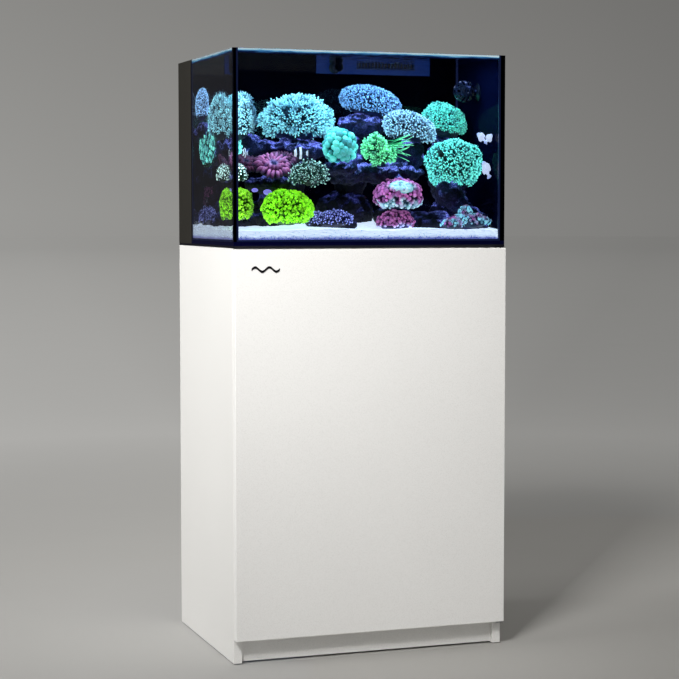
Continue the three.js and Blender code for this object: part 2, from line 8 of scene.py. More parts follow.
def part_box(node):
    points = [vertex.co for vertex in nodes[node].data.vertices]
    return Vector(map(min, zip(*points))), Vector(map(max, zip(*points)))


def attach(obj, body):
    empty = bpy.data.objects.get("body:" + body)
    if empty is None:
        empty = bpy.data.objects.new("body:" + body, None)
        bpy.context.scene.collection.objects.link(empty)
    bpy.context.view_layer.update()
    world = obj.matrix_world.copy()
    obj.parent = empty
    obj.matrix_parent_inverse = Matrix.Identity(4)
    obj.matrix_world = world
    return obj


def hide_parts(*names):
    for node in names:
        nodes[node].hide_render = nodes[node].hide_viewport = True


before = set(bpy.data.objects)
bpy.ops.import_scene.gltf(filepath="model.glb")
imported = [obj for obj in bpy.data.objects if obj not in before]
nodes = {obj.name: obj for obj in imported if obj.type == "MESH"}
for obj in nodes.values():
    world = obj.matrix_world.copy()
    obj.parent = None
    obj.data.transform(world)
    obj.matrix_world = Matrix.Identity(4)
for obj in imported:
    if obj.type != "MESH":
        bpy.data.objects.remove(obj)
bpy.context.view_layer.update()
scene = bpy.context.scene
print("frame loaded:", len(nodes), "nodes")


studio = {
    "cameraPlace": (-1.350, -3.861, 0.933),
    "cameraTurn": 0.337,  # radians to the right of straight ahead
    "cameraDip": 0.068,
    "lens": 98.9,
    "floorReach": 70.0,
    "keyPlace": (-1.75, -2.15, 2.75),
    "keyAim": (-0.27, -0.1, 1.0),
    "keySize": 0.9,
    "keyPower": 10.4,
    "keySpread": 44,
    "fillPlace": (-4.0, 0.2, 2.4),
    "fillPower": 20.5,
    "ambient": 0.38,
    "fade": (0.944, -0.33),  # the way in which the studio grows darker
    "dimming": ((0.0, (1.5, 1.5, 1.5)), (0.41, (1.22, 1.22, 1.22)), (0.59, (0.78, 0.78, 0.78)),
                (1.0, (0.6, 0.6, 0.6))),
    "sky": ((0.0, (0.262, 0.259, 0.249)), (0.11, (0.212, 0.209, 0.200)), (0.6, (0.17, 0.168, 0.16))),
    # painted light on the floor: the brightness its glow brings the floor to, by share of floorReach
    "ground": ((0.0, (0.10, 0.10, 0.10)), (0.016, (0.165, 0.162, 0.154)), (0.055, (0.325, 0.321, 0.309)),
               (0.22, (0.300, 0.2965, 0.285)), (0.64, (0.262, 0.259, 0.249))),
    "groundAlbedo": (0.3925, 0.3807, 0.3566),
    "mirrored": ((0.0, (0.0004, 0.0004, 0.003)), (0.35, (0.030, 0.029, 0.032))),  # dark in front, dim behind
}


def lookFrom(place, aim):
    return (Vector(aim) - Vector(place)).to_track_quat("-Z", "Y").to_euler()


def areaLamp(name, place, aim, width, depth, power, colour, spread=180):
    lamp = bpy.data.lights.new(name, "AREA")
    lamp.shape = "RECTANGLE"
    lamp.size = width
    lamp.size_y = depth
    lamp.energy = power
    lamp.color = colour
    lamp.spread = math.radians(spread)
    holder = bpy.data.objects.new(name, lamp)
    holder.location = place
    holder.rotation_euler = lookFrom(place, aim)
    holder.visible_camera = False
    holder.visible_glossy = False
    holder.visible_transmission = False
    scene.collection.objects.link(holder)
    return holder


lens = bpy.data.cameras.new("camera")
lens.lens = studio["lens"]
lens.sensor_width = 36.0
lens.clip_end = 200.0
camera = bpy.data.objects.new("camera", lens)
camera.location = studio["cameraPlace"]
camera.rotation_euler = (math.pi / 2 - studio["cameraDip"], 0, -studio["cameraTurn"])
scene.collection.objects.link(camera)
scene.camera = camera
scene.view_settings.view_transform = "Standard"
scene.cycles.caustics_refractive = False
scene.cycles.caustics_reflective = False
scene.cycles.max_bounces = 14
scene.cycles.transmission_bounces = 12
scene.cycles.transparent_max_bounces = 8
areaLamp("key", studio["keyPlace"], studio["keyAim"], studio["keySize"], studio["keySize"],
         studio["keyPower"], (1.0, 0.99, 0.975), studio["keySpread"])
areaLamp("fill", studio["fillPlace"], (0, 0, 0.9), 2.0, 1.6, studio["fillPower"], (1.0, 0.995, 0.985), 100)


class Wire:
    # one output of a node; sums on it add Math nodes
    def __init__(self, paint, socket):
        self.paint = paint
        self.socket = socket

    def __add__(self, other):
        return self.paint.sum("ADD", self, other)

    def __radd__(self, other):
        return self.paint.sum("ADD", other, self)

    def __sub__(self, other):
        return self.paint.sum("SUBTRACT", self, other)

    def __rsub__(self, other):
        return self.paint.sum("SUBTRACT", other, self)

    def __mul__(self, other):
        return self.paint.sum("MULTIPLY", self, other)

    def __rmul__(self, other):
        return self.paint.sum("MULTIPLY", other, self)

    def __truediv__(self, other):
        return self.paint.sum("DIVIDE", self, other)

    def __pow__(self, other):
        return self.paint.sum("POWER", self, other)


class Paint:
    def __init__(self, name, **constants):
        self.mat = bpy.data.materials.new(name)
        self.mat.use_nodes = True
        self.tree = self.mat.node_tree
        self.shader = self.tree.nodes["Principled BSDF"]
        self.place = self.node("ShaderNodeTexCoord", {}, {}, out="Object")
        for socket, value in constants.items():
            self.shader.inputs[socket.replace("_", " ")].default_value = value

    def node(self, kind, settings, sockets, out=0):
        made = self.tree.nodes.new(kind)
        for name, value in settings.items():
            if name == "stops":
                fillRamp(made.color_ramp, value)
            else:
                setattr(made, name, value)
        for name, value in sockets.items():
            self.feed(made.inputs[name], value)
        return Wire(self, made.outputs[out])

    def feed(self, socket, value):
        if isinstance(value, Wire):
            self.tree.links.new(value.socket, socket)
        else:
            socket.default_value = value

    def sum(self, operation, left, right):
        return self.node("ShaderNodeMath", {"operation": operation}, {0: left, 1: right})

    def mix(self, factor, first, second, blend="MIX"):
        settings = {"data_type": "RGBA", "blend_type": blend}
        return self.node("ShaderNodeMix", settings, {0: factor, 6: shade(first), 7: shade(second)}, out=2)

    def noise(self, scale, detail=3.0, rough=0.55, place=None, stretch=None):
        where = place or self.place
        if stretch:
            where = self.node("ShaderNodeMapping", {}, {"Vector": where, "Scale": stretch})
        sockets = {"Vector": where, "Scale": scale, "Detail": detail, "Roughness": rough}
        return self.node("ShaderNodeTexNoise", {}, sockets)

    def cells(self, scale, feature="F1"):
        return self.node("ShaderNodeTexVoronoi", {"feature": feature}, {"Vector": self.place, "Scale": scale})

    def ramp(self, factor, *stops):
        return self.node("ShaderNodeValToRGB", {"stops": stops}, {"Fac": factor})

    def times(self, first, second):
        return self.mix(1.0, first, second, "MULTIPLY")

    def axis(self, name):
        return self.node("ShaderNodeSeparateXYZ", {}, {0: self.place}, out=name)

    def span(self, value, low, high, top=1.0):
        sockets = {"Value": value, "From Min": low, "From Max": high, "To Max": top}
        return self.node("ShaderNodeMapRange", {}, sockets)

    def mark(self, name):
        return self.node("ShaderNodeAttribute", {"attribute_name": name}, {}, out="Fac")

    def set(self, **sockets):
        for name, value in sockets.items():
            self.feed(self.shader.inputs[name.replace("_", " ")], value)

    def bump(self, height, distance, strength=1.0):
        sockets = {"Height": height, "Distance": distance, "Strength": strength}
        self.set(Normal=self.node("ShaderNodeBump", {}, sockets, out="Normal"))


def shade(colour):
    if isinstance(colour, Wire) or len(colour) == 4:
        return colour
    return (*colour, 1.0)


def fillRamp(ramp, stops):
    while len(ramp.elements) < len(stops):
        ramp.elements.new(0.5)
    for element, (position, colour) in zip(ramp.elements, stops):
        element.position = position
        element.color = shade(colour)


def surfacePaint(name, dark, light, grain, rough, lift, **constants):
    # two tones, a roughness range and a fine relief from the same grain
    paint = Paint(name, **constants)
    broad = paint.noise(grain * 0.06, 2.0)
    fine = paint.noise(grain, 3.0, 0.6)
    paint.set(Base_Color=paint.mix(broad * 0.7 + fine * 0.3, dark, light))
    paint.set(Roughness=rough[0] + (rough[1] - rough[0]) * fine)
    paint.bump(fine, lift)
    return paint.mat


def hangWorld():
    world = bpy.data.worlds.new("studio")
    world.use_nodes = True
    scene.world = world
    tree = world.node_tree
    tree.nodes.clear()

    def add(kind, **settings):
        made = tree.nodes.new(kind)
        for name, value in settings.items():
            setattr(made, name, value)
        return made

    def background(colour, strength=1.0):
        made = add("ShaderNodeBackground")
        if isinstance(colour, tuple):
            made.inputs["Color"].default_value = shade(colour)
        else:
            tree.links.new(colour, made.inputs["Color"])
        made.inputs["Strength"].default_value = strength
        return made

    def choose(switch, plain, special):
        made = add("ShaderNodeMixShader")
        tree.links.new(switch, made.inputs[0])
        tree.links.new(plain.outputs[0], made.inputs[1])
        tree.links.new(special.outputs[0], made.inputs[2])
        return made

    where = add("ShaderNodeTexCoord")
    parts = add("ShaderNodeSeparateXYZ")
    tree.links.new(where.outputs["Generated"], parts.inputs[0])
    height = add("ShaderNodeValToRGB")
    fillRamp(height.color_ramp, studio["sky"])
    tree.links.new(parts.outputs["Z"], height.inputs["Fac"])
    aside = add("ShaderNodeVectorMath", operation="DOT_PRODUCT")
    tree.links.new(where.outputs["Generated"], aside.inputs[0])
    aside.inputs[1].default_value = (*studio["fade"], 0)
    dim = add("ShaderNodeValToRGB")
    fillRamp(dim.color_ramp, studio["dimming"])
    shift = add("ShaderNodeMath", operation="MULTIPLY_ADD")
    tree.links.new(aside.outputs["Value"], shift.inputs[0])
    shift.inputs[1].default_value = 0.5
    shift.inputs[2].default_value = 0.5
    tree.links.new(shift.outputs[0], dim.inputs["Fac"])
    toned = add("ShaderNodeMix", data_type="RGBA", blend_type="MULTIPLY")
    toned.inputs[0].default_value = 1.0
    tree.links.new(height.outputs[0], toned.inputs[6])
    tree.links.new(dim.outputs[0], toned.inputs[7])
    mirror = add("ShaderNodeValToRGB")
    fillRamp(mirror.color_ramp, studio["mirrored"])
    tree.links.new(parts.outputs["Y"], mirror.inputs["Fac"])
    ray = add("ShaderNodeLightPath")
    lit = choose(ray.outputs["Is Diffuse Ray"], background(toned.outputs[2]),
                 background((1.0, 0.985, 0.96), studio["ambient"]))
    last = choose(ray.outputs["Is Glossy Ray"], lit, background(mirror.outputs[0]))
    end = add("ShaderNodeOutputWorld")
    tree.links.new(last.outputs[0], end.inputs["Surface"])


def clearPicks():
    bpy.ops.object.select_all(action="DESELECT")


def layFloor():
    clearPicks()
    reach = studio["floorReach"]
    bpy.ops.mesh.primitive_circle_add(vertices=96, radius=reach, fill_type="NGON", location=(0, 0, 0))
    floor = bpy.context.object
    floor.name = "studio_floor"
    paint = Paint("floor_grey", Roughness=0.9, Specular_IOR_Level=0.0)
    paint.set(Base_Color=paint.mix(paint.noise(3.0, 4.0), (0.385, 0.379, 0.364), (0.40, 0.394, 0.379)))
    away = paint.node("ShaderNodeVectorMath", {"operation": "LENGTH"}, {0: paint.place}, out="Value")
    unit = paint.node("ShaderNodeVectorMath", {"operation": "NORMALIZE"}, {0: paint.place})
    aside = paint.node("ShaderNodeVectorMath", {"operation": "DOT_PRODUCT"},
                       {0: unit, 1: (*studio["fade"], 0)},
                       out="Value")
    # painted light: the floor glows, least at the cabinet's foot as a painted shadow, most a few metres out
    # and less towards the right as painted shade; far off it meets the backdrop without a line
    whole = paint.ramp(away / reach, *studio["ground"])
    dim = paint.ramp(aside * 0.5 + 0.5, *studio["dimming"])
    toned = paint.times(whole, dim)
    ownLight = [studio["ambient"] * part for part in studio["groundAlbedo"]]
    own = paint.node("ShaderNodeVectorMath", {"operation": "SUBTRACT"}, {0: toned, 1: ownLight})
    glow = paint.node("ShaderNodeVectorMath", {"operation": "MAXIMUM"}, {0: own, 1: (0, 0, 0)})
    paint.set(Emission_Color=glow, Emission_Strength=1.0)
    paint.mat.cycles.emission_sampling = "NONE"
    floor.data.materials.append(paint.mat)
    floor.visible_glossy = False


hangWorld()
layFloor()
print("studio ready")


def grab(piece):
    clearPicks()
    piece.select_set(True)
    bpy.context.view_layer.objects.active = piece


def editFaces(piece, wanted):
    # opens the piece in edit mode with only the wanted faces picked
    grab(piece)
    for vertex in piece.data.vertices:
        vertex.select = False
    for edge in piece.data.edges:
        edge.select = False
    for face in piece.data.polygons:
        face.select = wanted(face)
    bpy.ops.object.mode_set(mode="EDIT")
    bpy.context.tool_settings.mesh_select_mode = (False, False, True)


def closeEdit():
    bpy.ops.object.mode_set(mode="OBJECT")


def turnOut(piece):
    editFaces(piece, lambda face: True)
    bpy.ops.mesh.normals_make_consistent(inside=False)
    closeEdit()


def pull(step, about, swell=(1, 1, 1)):
    # extrudes the picked faces by a step, then scales them about a point
    bpy.ops.mesh.extrude_region_move(TRANSFORM_OT_translate={"value": step})
    bpy.ops.transform.resize(value=swell, center_override=about)


def applyModifiers(piece):
    grab(piece)
    for modifier in list(piece.modifiers):
        bpy.ops.object.modifier_apply(modifier=modifier.name)


def settle(piece):
    grab(piece)
    bpy.ops.object.transform_apply(location=True, rotation=True, scale=True)


def addGrid(low, high, height, columns, rows):
    clearPicks()
    middle = (low + high) / 2
    bpy.ops.mesh.primitive_grid_add(x_subdivisions=columns, y_subdivisions=rows, size=1,
                                    location=(middle.x, middle.y, height))
    grid = bpy.context.object
    grid.scale = (high.x - low.x, high.y - low.y, 1)
    settle(grid)
    return grid


def addSlab(middle, size):
    clearPicks()
    bpy.ops.mesh.primitive_cube_add(size=1, location=middle)
    slab = bpy.context.object
    slab.scale = size
    settle(slab)
    return slab


def dropFloor(piece, low):
    # draws a wavy sheet down to a flat underside
    editFaces(piece, lambda face: True)
    bpy.ops.mesh.extrude_region_move(TRANSFORM_OT_translate={"value": (0, 0, -1)})
    closeEdit()
    for vertex in piece.data.vertices:
        vertex.co.z = max(vertex.co.z, low)


def mergeFlats(piece):
    turnOut(piece)
    flatten = piece.modifiers.new("flat_floor", "DECIMATE")
    flatten.decimate_type = "DISSOLVE"
    flatten.angle_limit = math.radians(0.02)
    applyModifiers(piece)


def joinAll(name, pieces):
    clearPicks()
    for piece in pieces:
        piece.select_set(True)
    bpy.context.view_layer.objects.active = pieces[0]
    if len(pieces) > 1:
        bpy.ops.object.join()
    joined = bpy.context.view_layer.objects.active
    joined.name = name
    joined.data.name = name
    return joined


def markAll(piece, name, value):
    layer = piece.data.attributes.get(name) or piece.data.attributes.new(name, "FLOAT", "POINT")
    layer.data.foreach_set("value", [value] * len(piece.data.vertices))


def markBy(piece, name, rule):
    layer = piece.data.attributes.get(name) or piece.data.attributes.new(name, "FLOAT", "POINT")
    layer.data.foreach_set("value", [rule(vertex.co) for vertex in piece.data.vertices])


def finishPiece(piece, body, paint, replaced=(), angle=None):
    grab(piece)
    if angle is None:
        bpy.ops.object.shade_smooth()
    else:
        bpy.ops.object.shade_smooth_by_angle(angle=angle)
    piece.data.materials.clear()
    piece.data.materials.append(paint)
    for face in piece.data.polygons:
        face.material_index = 0
    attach(piece, body)
    if replaced:
        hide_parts(*replaced)
    return piece


def dress(name, paint):
    node = nodes[name]
    node.data.materials.clear()
    node.data.materials.append(paint)


cabinet = {
    "edgeRound": 0.0009,
    "boardTones": ((0.80, 0.795, 0.775), (0.845, 0.84, 0.82)),
    "doorTones": ((0.845, 0.84, 0.825), (0.885, 0.88, 0.865)),
}


def lacquerPaint(name, tones):
    # sprayed lacquer with a fine pebbled skin
    paint = Paint(name, IOR=1.45)
    pebble = paint.cells(520.0)
    cloud = paint.noise(3.5, 2.0)
    speck = paint.noise(900.0, 2.0, 0.5)
    tone = paint.mix(cloud, tones[0], tones[1])
    dust = paint.ramp(speck, (0.36, (0.90, 0.90, 0.895)), (0.5, (1, 1, 1)))
    paint.set(Base_Color=paint.times(tone, dust))
    paint.set(Roughness=0.42 + 0.14 * speck)
    paint.bump(pebble * 0.6 + speck * 0.4, 0.00022, 0.55)
    return paint.mat


def steelPaint():
    paint = Paint("steel_brushed", Metallic=1.0)
    stroke = paint.noise(420.0, 3.0, 0.6, stretch=(0.06, 1.0, 1.0))
    paint.set(Base_Color=paint.mix(stroke, (0.50, 0.51, 0.52), (0.72, 0.73, 0.74)))
    paint.set(Roughness=0.24 + 0.2 * stroke)
    paint.bump(stroke, 0.00005)
    return paint.mat


boardPaint = lacquerPaint("board_lacquer", cabinet["boardTones"])
doorPaint = lacquerPaint("door_lacquer", cabinet["doorTones"])
steel = steelPaint()
blackGlide = surfacePaint("glide_black", (0.018, 0.018, 0.02), (0.035, 0.035, 0.04), 700.0,
                          (0.5, 0.7), 0.00008)
badgeGloss = surfacePaint("badge_gloss", (0.006, 0.006, 0.007), (0.014, 0.014, 0.016), 500.0,
                          (0.12, 0.2), 0.00002)
nylon = surfacePaint("nylon_milky", (0.60, 0.59, 0.55), (0.74, 0.73, 0.69), 500.0, (0.4, 0.55), 0.00004)
latchGrey = surfacePaint("latch_grey_plastic", (0.22, 0.225, 0.23), (0.30, 0.305, 0.31), 800.0,
                         (0.42, 0.56), 0.00005)
for name in ("side_panel_left", "side_panel_right", "top_panel", "bottom_panel", "shelf", "kick_board",
             "back_panel"):
    dress(name, boardPaint)
dress("door", doorPaint)
dress("badge", badgeGloss)
for name in ("strike_plate", "pivot_leaf_top", "pivot_leaf_bottom"):
    dress(name, steel)
for name in ("pivot_sleeve_top", "pivot_sleeve_bottom"):
    dress(name, nylon)
for name in ("latch_housing", "latch_plunger"):
    dress(name, latchGrey)
for name in nodes:
    if name.startswith("glide_"):
        dress(name, blackGlide)
for name in ("side_panel_left", "side_panel_right", "door", "kick_board", "top_panel"):
    # lacquered edges are broken slightly
    weld = nodes[name].modifiers.new("weld", "WELD")
    weld.merge_threshold = 0.00001
    edge = nodes[name].modifiers.new("edge", "BEVEL")
    edge.width = cabinet["edgeRound"]
    edge.segments = 2
    edge.limit_method = "ANGLE"
    edge.angle_limit = math.radians(50)
print("cabinet dressed")


tank = {
    "lampPower": 2.1,
    "lampColour": (0.44, 0.72, 1.0),
    "washPower": 0.75,
    "waterGap": 0.0003,
    "waterDrop": 0.008,  # below the rim
    "grid": (150, 84),
    "ripple": 0.0008,
    "swells": ((34, 1.0, 2.0), (90, 0.45, 7.0)),  # pitch, share and seed
    "climb": 0.0016,  # how far the water climbs the glass, and over what width
    "climbWidth": 0.0022,
    "filmThick": 0.0004,
    "bandThick": 0.0005,
    "bandCuts": 40,
}
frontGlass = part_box("front_glass")
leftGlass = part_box("left_glass")
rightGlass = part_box("right_glass")
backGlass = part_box("back_glass")
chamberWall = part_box("chamber_wall")
waterLow = Vector((leftGlass[1].x, frontGlass[1].y, frontGlass[0].z)) + Vector((1, 1, 1)) * tank["waterGap"]
waterHigh = Vector((rightGlass[0].x - tank["waterGap"], chamberWall[0].y - tank["waterGap"],
                    frontGlass[1].z - tank["waterDrop"]))


def glassPaint():
    paint = Paint("tank_glass_clear", IOR=1.5)
    paint.set(Transmission_Weight=1.0)
    paint.set(Base_Color=paint.mix(paint.noise(9.0, 2.0), (0.93, 0.965, 0.975), (0.955, 0.98, 0.985)))
    paint.set(Roughness=0.004 * paint.noise(30.0, 2.0))
    return paint.mat


def blackGlassPaint():
    # glass backed with black film
    paint = Paint("glass_black_backed", IOR=1.5)
    paint.set(Base_Color=paint.mix(paint.noise(14.0, 3.0), (0.006, 0.0065, 0.010), (0.012, 0.013, 0.018)))
    paint.set(Roughness=0.06 + 0.1 * paint.noise(60.0, 2.0))
    return paint.mat


def foamPaint():
    paint = Paint("mat_foam_black", Roughness=0.85)
    cell = paint.cells(900.0)
    paint.set(Base_Color=paint.mix(cell, (0.003, 0.003, 0.006), (0.012, 0.012, 0.017)))
    paint.bump(cell, 0.0003)
    return paint.mat


def spongePaint():
    paint = Paint("sponge_blue_open", Roughness=0.9)
    pore = paint.cells(420.0)
    cloud = paint.noise(40.0, 3.0)
    paint.set(Base_Color=paint.ramp(pore * 0.8 + cloud * 0.3, (0.12, (0.006, 0.03, 0.09)),
                                    (0.55, (0.03, 0.15, 0.42)), (0.9, (0.09, 0.28, 0.6))))
    paint.bump(pore, 0.0012)
    return paint.mat


def glintedPlasticPaint():
    # black plastic with painted glints: a few blue-white spots on its upper sides glow in place of the lamps'
    # highlights
    paint = Paint("black_plastic_painted_glints", Roughness=0.3, Specular_IOR_Level=0.25)
    grain = paint.noise(420.0, 2.0)
    paint.set(Base_Color=paint.mix(grain, (0.0015, 0.0025, 0.008), (0.004, 0.006, 0.018)))
    normal = paint.node("ShaderNodeNewGeometry", {}, {}, out="Normal")
    up = paint.node("ShaderNodeSeparateXYZ", {}, {0: normal}, out="Z")
    spots = paint.noise(95.0, 2.0, 0.5)
    glint = paint.ramp(spots + up * 0.14, (0.64, (0, 0, 0)), (0.72, (0.05, 0.09, 0.35)),
                       (0.78, (0.55, 0.68, 1.0)))
    paint.set(Emission_Color=glint, Emission_Strength=0.7)
    paint.bump(grain, 0.00005)
    return paint.mat


def weirPaint():
    paint = Paint("weir_blue_acrylic", IOR=1.49)
    cloud = paint.noise(30.0, 3.0)
    paint.set(Base_Color=paint.mix(cloud, (0.004, 0.010, 0.055), (0.006, 0.016, 0.08)))
    # painted light: the plate glows a dim blue of its own, standing in for the tank lamp's light
    paint.set(Emission_Color=paint.mix(cloud, (0.002, 0.007, 0.040), (0.004, 0.012, 0.062)))
    paint.set(Emission_Strength=1.0)
    paint.set(Roughness=0.14 + 0.1 * paint.noise(200.0))
    return paint.mat


glass = glassPaint()
glintedPlastic = glintedPlasticPaint()
blackGlass = blackGlassPaint()
# painted light: the seams glow a faint blue
siliconeBlack = surfacePaint("silicone_black_bead", (0.002, 0.003, 0.018), (0.005, 0.008, 0.040), 300.0,
                             (0.28, 0.4), 0.00012, Emission_Color=(0.10, 0.16, 0.60, 1),
                             Emission_Strength=0.055)
wallBlack = surfacePaint("wall_black_acrylic", (0.0004, 0.0006, 0.010), (0.0010, 0.0014, 0.018), 240.0,
                         (0.45, 0.6), 0.00002, Specular_IOR_Level=0.08)
dividerBlack = surfacePaint("divider_black_acrylic", (0.012, 0.012, 0.014), (0.022, 0.022, 0.026), 240.0,
                            (0.2, 0.32), 0.00003)
basketBlack = surfacePaint("basket_black_plastic", (0.02, 0.02, 0.023), (0.04, 0.04, 0.046), 600.0,
                           (0.35, 0.5), 0.00006)
pumpBlack = surfacePaint("pump_black_plastic", (0.003, 0.004, 0.009), (0.009, 0.011, 0.022), 500.0,
                         (0.16, 0.28), 0.00006)
rotorGrey = surfacePaint("rotor_grey_plastic", (0.05, 0.055, 0.08), (0.10, 0.11, 0.15), 500.0,
                         (0.25, 0.4), 0.00004)
hoseRubber = surfacePaint("hose_soft_rubber", (0.015, 0.015, 0.016), (0.035, 0.035, 0.037), 400.0,
                          (0.45, 0.65), 0.0001)
for name in ("front_glass", "left_glass", "right_glass"):
    dress(name, glass)
dress("back_glass", blackGlass)
bottomDark = surfacePaint("bottom_glass_dark", (0.0004, 0.0006, 0.012), (0.0010, 0.0012, 0.020), 240.0,
                          (0.2, 0.3), 0.00002, Specular_IOR_Level=0.2)
dress("bottom_glass", bottomDark)
dress("levelling_mat", foamPaint())
dress("silicone_seams", siliconeBlack)
dress("chamber_wall", wallBlack)
dress("weir_plate", weirPaint())
dress("weir_comb", surfacePaint("comb_dark_plastic", (0.004, 0.008, 0.03), (0.008, 0.014, 0.05), 500.0,
                                (0.25, 0.4), 0.00005))
for name in ("chamber_divider_left", "chamber_divider_right"):
    dress(name, dividerBlack)
dress("media_basket", basketBlack)
dress("filter_sponge", spongePaint())
for name in ("pump_housing", "return_pipe", "nozzle_ball", "nozzle_tip", "wave_suction_cup"):
    dress(name, pumpBlack)
for name in ("wave_bracket", "wave_housing", "wave_cage", "wave_propeller"):
    dress(name, glintedPlastic)
dress("pump_rotor", rotorGrey)
dress("return_hose", hoseRubber)


def waterPaint(name):
    paint = Paint(name, IOR=1.33)
    paint.set(Transmission_Weight=1.0, Roughness=0.0)
    paint.set(Base_Color=paint.mix(paint.noise(6.0), (0.90, 0.96, 1.0), (0.93, 0.975, 1.0)))
    return paint


def sideWaterShadePaint():
    # clear seen square on, a painted dark blue shade when seen along its face
    paint = waterPaint("water_side_painted_shade")
    deep = paint.node("ShaderNodeBsdfPrincipled", {}, {"Base Color": (0.001, 0.002, 0.012, 1),
                                                       "Roughness": 0.5,
                                                       "Specular IOR Level": 0.0})
    facing = paint.node("ShaderNodeLayerWeight", {}, {"Blend": 0.5}, out="Facing")
    share = paint.span(facing, 0.35, 0.62, 0.985)
    both = paint.node("ShaderNodeMixShader", {}, {0: share, 1: Wire(paint, paint.shader.outputs[0]), 2: deep})
    paint.tree.links.new(both.socket, paint.tree.nodes["Material Output"].inputs["Surface"])
    return paint


def fillWater():
    # a closed block of water with a rippled top
    water = addGrid(waterLow, waterHigh, waterHigh.z, *tank["grid"])
    for vertex in water.data.vertices:
        place = vertex.co
        edge = min(place.x - waterLow.x, waterHigh.x - place.x, place.y - waterLow.y, waterHigh.y - place.y)
        swell = sum(share * noise.noise(Vector((place.x * pitch, place.y * pitch, seed)))
                    for pitch, share, seed in tank["swells"])
        place.z += tank["ripple"] * swell + tank["climb"] * math.exp(-max(edge, 0) / tank["climbWidth"])
    dropFloor(water, waterLow.z)
    mergeFlats(water)
    water.name = "water"
    finishPiece(water, "cabinet", waterPaint("water_clear").mat, angle=math.radians(30))
    water.data.materials.append(sideWaterShadePaint().mat)
    for face in water.data.polygons:
        if face.normal.x > 0.9:
            face.material_index = 1


def hangTankLamps():
    high = waterHigh.z - 0.006
    middle = (waterLow.y + waterHigh.y) / 2
    areaLamp("tank_lamp", (0, middle - 0.05, high), (0, middle - 0.01, 0.9), 0.52, 0.20, tank["lampPower"],
             tank["lampColour"])
    areaLamp("tank_wash", (0, waterLow.y + 0.012, high - 0.01), (0, waterHigh.y, 0.98), 0.54, 0.02,
             tank["washPower"], tank["lampColour"])


def coverSides():
    # black film on the side glasses behind the chamber wall
    paint = surfacePaint("film_matt_black", (0.024, 0.0225, 0.019), (0.031, 0.029, 0.025), 400.0, (0.5, 0.65),
                         0.00003, Specular_IOR_Level=0.2)
    low = Vector((0, chamberWall[0].y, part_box("bottom_glass")[0].z))
    high = Vector((0, backGlass[1].y, frontGlass[1].z))
    middle = (low + high) / 2
    thick = tank["filmThick"]
    for name, face, way in (("film_left", leftGlass[0].x, -1), ("film_right", rightGlass[1].x, 1)):
        film = addSlab((face + way * thick / 2, middle.y, middle.z), (thick, high.y - low.y, high.z - low.z))
        editFaces(film, lambda face: face.normal.x * way > 0.9)
        bpy.ops.mesh.inset(thickness=0.004, depth=0)
        bpy.ops.mesh.subdivide(number_cuts=6)
        closeEdit()
        film.name = name
        finishPiece(film, "cabinet", paint, angle=math.radians(30))


def paintRimGlints():
    # painted highlight: a thin band between the water and the rim glows in blue-white streaks, standing in
    # for glints of the lamp light
    paint = Paint("water_line_glint", Roughness=0.15)
    level = paint.span(paint.axis("Z"), waterHigh.z - 0.001, frontGlass[1].z - 0.0005)
    streak = paint.noise(26.0, 3.0, 0.6, stretch=(1.0, 1.0, 9.0))
    glint = paint.ramp(level * 0.85 + streak * 0.75 - 0.3, (0.22, (0.003, 0.008, 0.05)),
                       (0.42, (0.03, 0.16, 0.42)), (0.60, (0.20, 0.52, 0.72)), (0.82, (0.72, 0.90, 1.0)))
    paint.set(Base_Color=glint, Emission_Color=glint, Emission_Strength=0.8)
    paint.bump(streak, 0.0006)
    low = waterHigh.z - 0.0012
    high = frontGlass[1].z - 0.0004
    thick = tank["bandThick"]
    cuts = tank["bandCuts"]
    for name, along, end in (("painted_glint_band_front", 0, waterHigh.x), ("painted_glint_band_left", 1, waterHigh.y)):
        start = waterLow[along]
        middle = [waterLow.x, waterLow.y, (low + high) / 2]
        middle[along] = (start + end) / 2
        size = [thick, thick, high - low]
        size[along] = end - start
        band = addSlab(middle, size)
        facing = [0, 0, 0]
        facing[along] = 1
        editFaces(band, lambda face: abs(face.normal[along]) < 0.5)
        for step in range(1, cuts):
            spot = [waterLow.x, waterLow.y, low]
            spot[along] = start + (end - start) * step / cuts
            bpy.ops.mesh.select_all(action="SELECT")
            bpy.ops.mesh.bisect(plane_co=spot, plane_no=facing)
        closeEdit()
        for vertex in band.data.vertices:
            if vertex.co.z < (low + high) / 2:
                vertex.co.z += 0.0012 * noise.noise(vertex.co * 60)
        finishPiece(band, "cabinet", paint.mat, angle=math.radians(40))


fillWater()
paintRimGlints()
hangTankLamps()
coverSides()
print("tank filled")


sand = {
    "inset": 0.0007,
    "cell": 0.0034,
    "depth": 0.0242,
    "frontRise": 0.004,
    "bankRise": 0.028,  # towards the back
    "bankStart": 0.28,  # share of the depth of the bed
    "drift": 0.0035,
    "grain": 0.0007,
    "frontSlope": 0.004,
    # the painted shade on the front of the bed fades out between these heights
    "paintedShadeFoot": (0.8825, 0.9),  # heights between which the front turns from blue to white
}


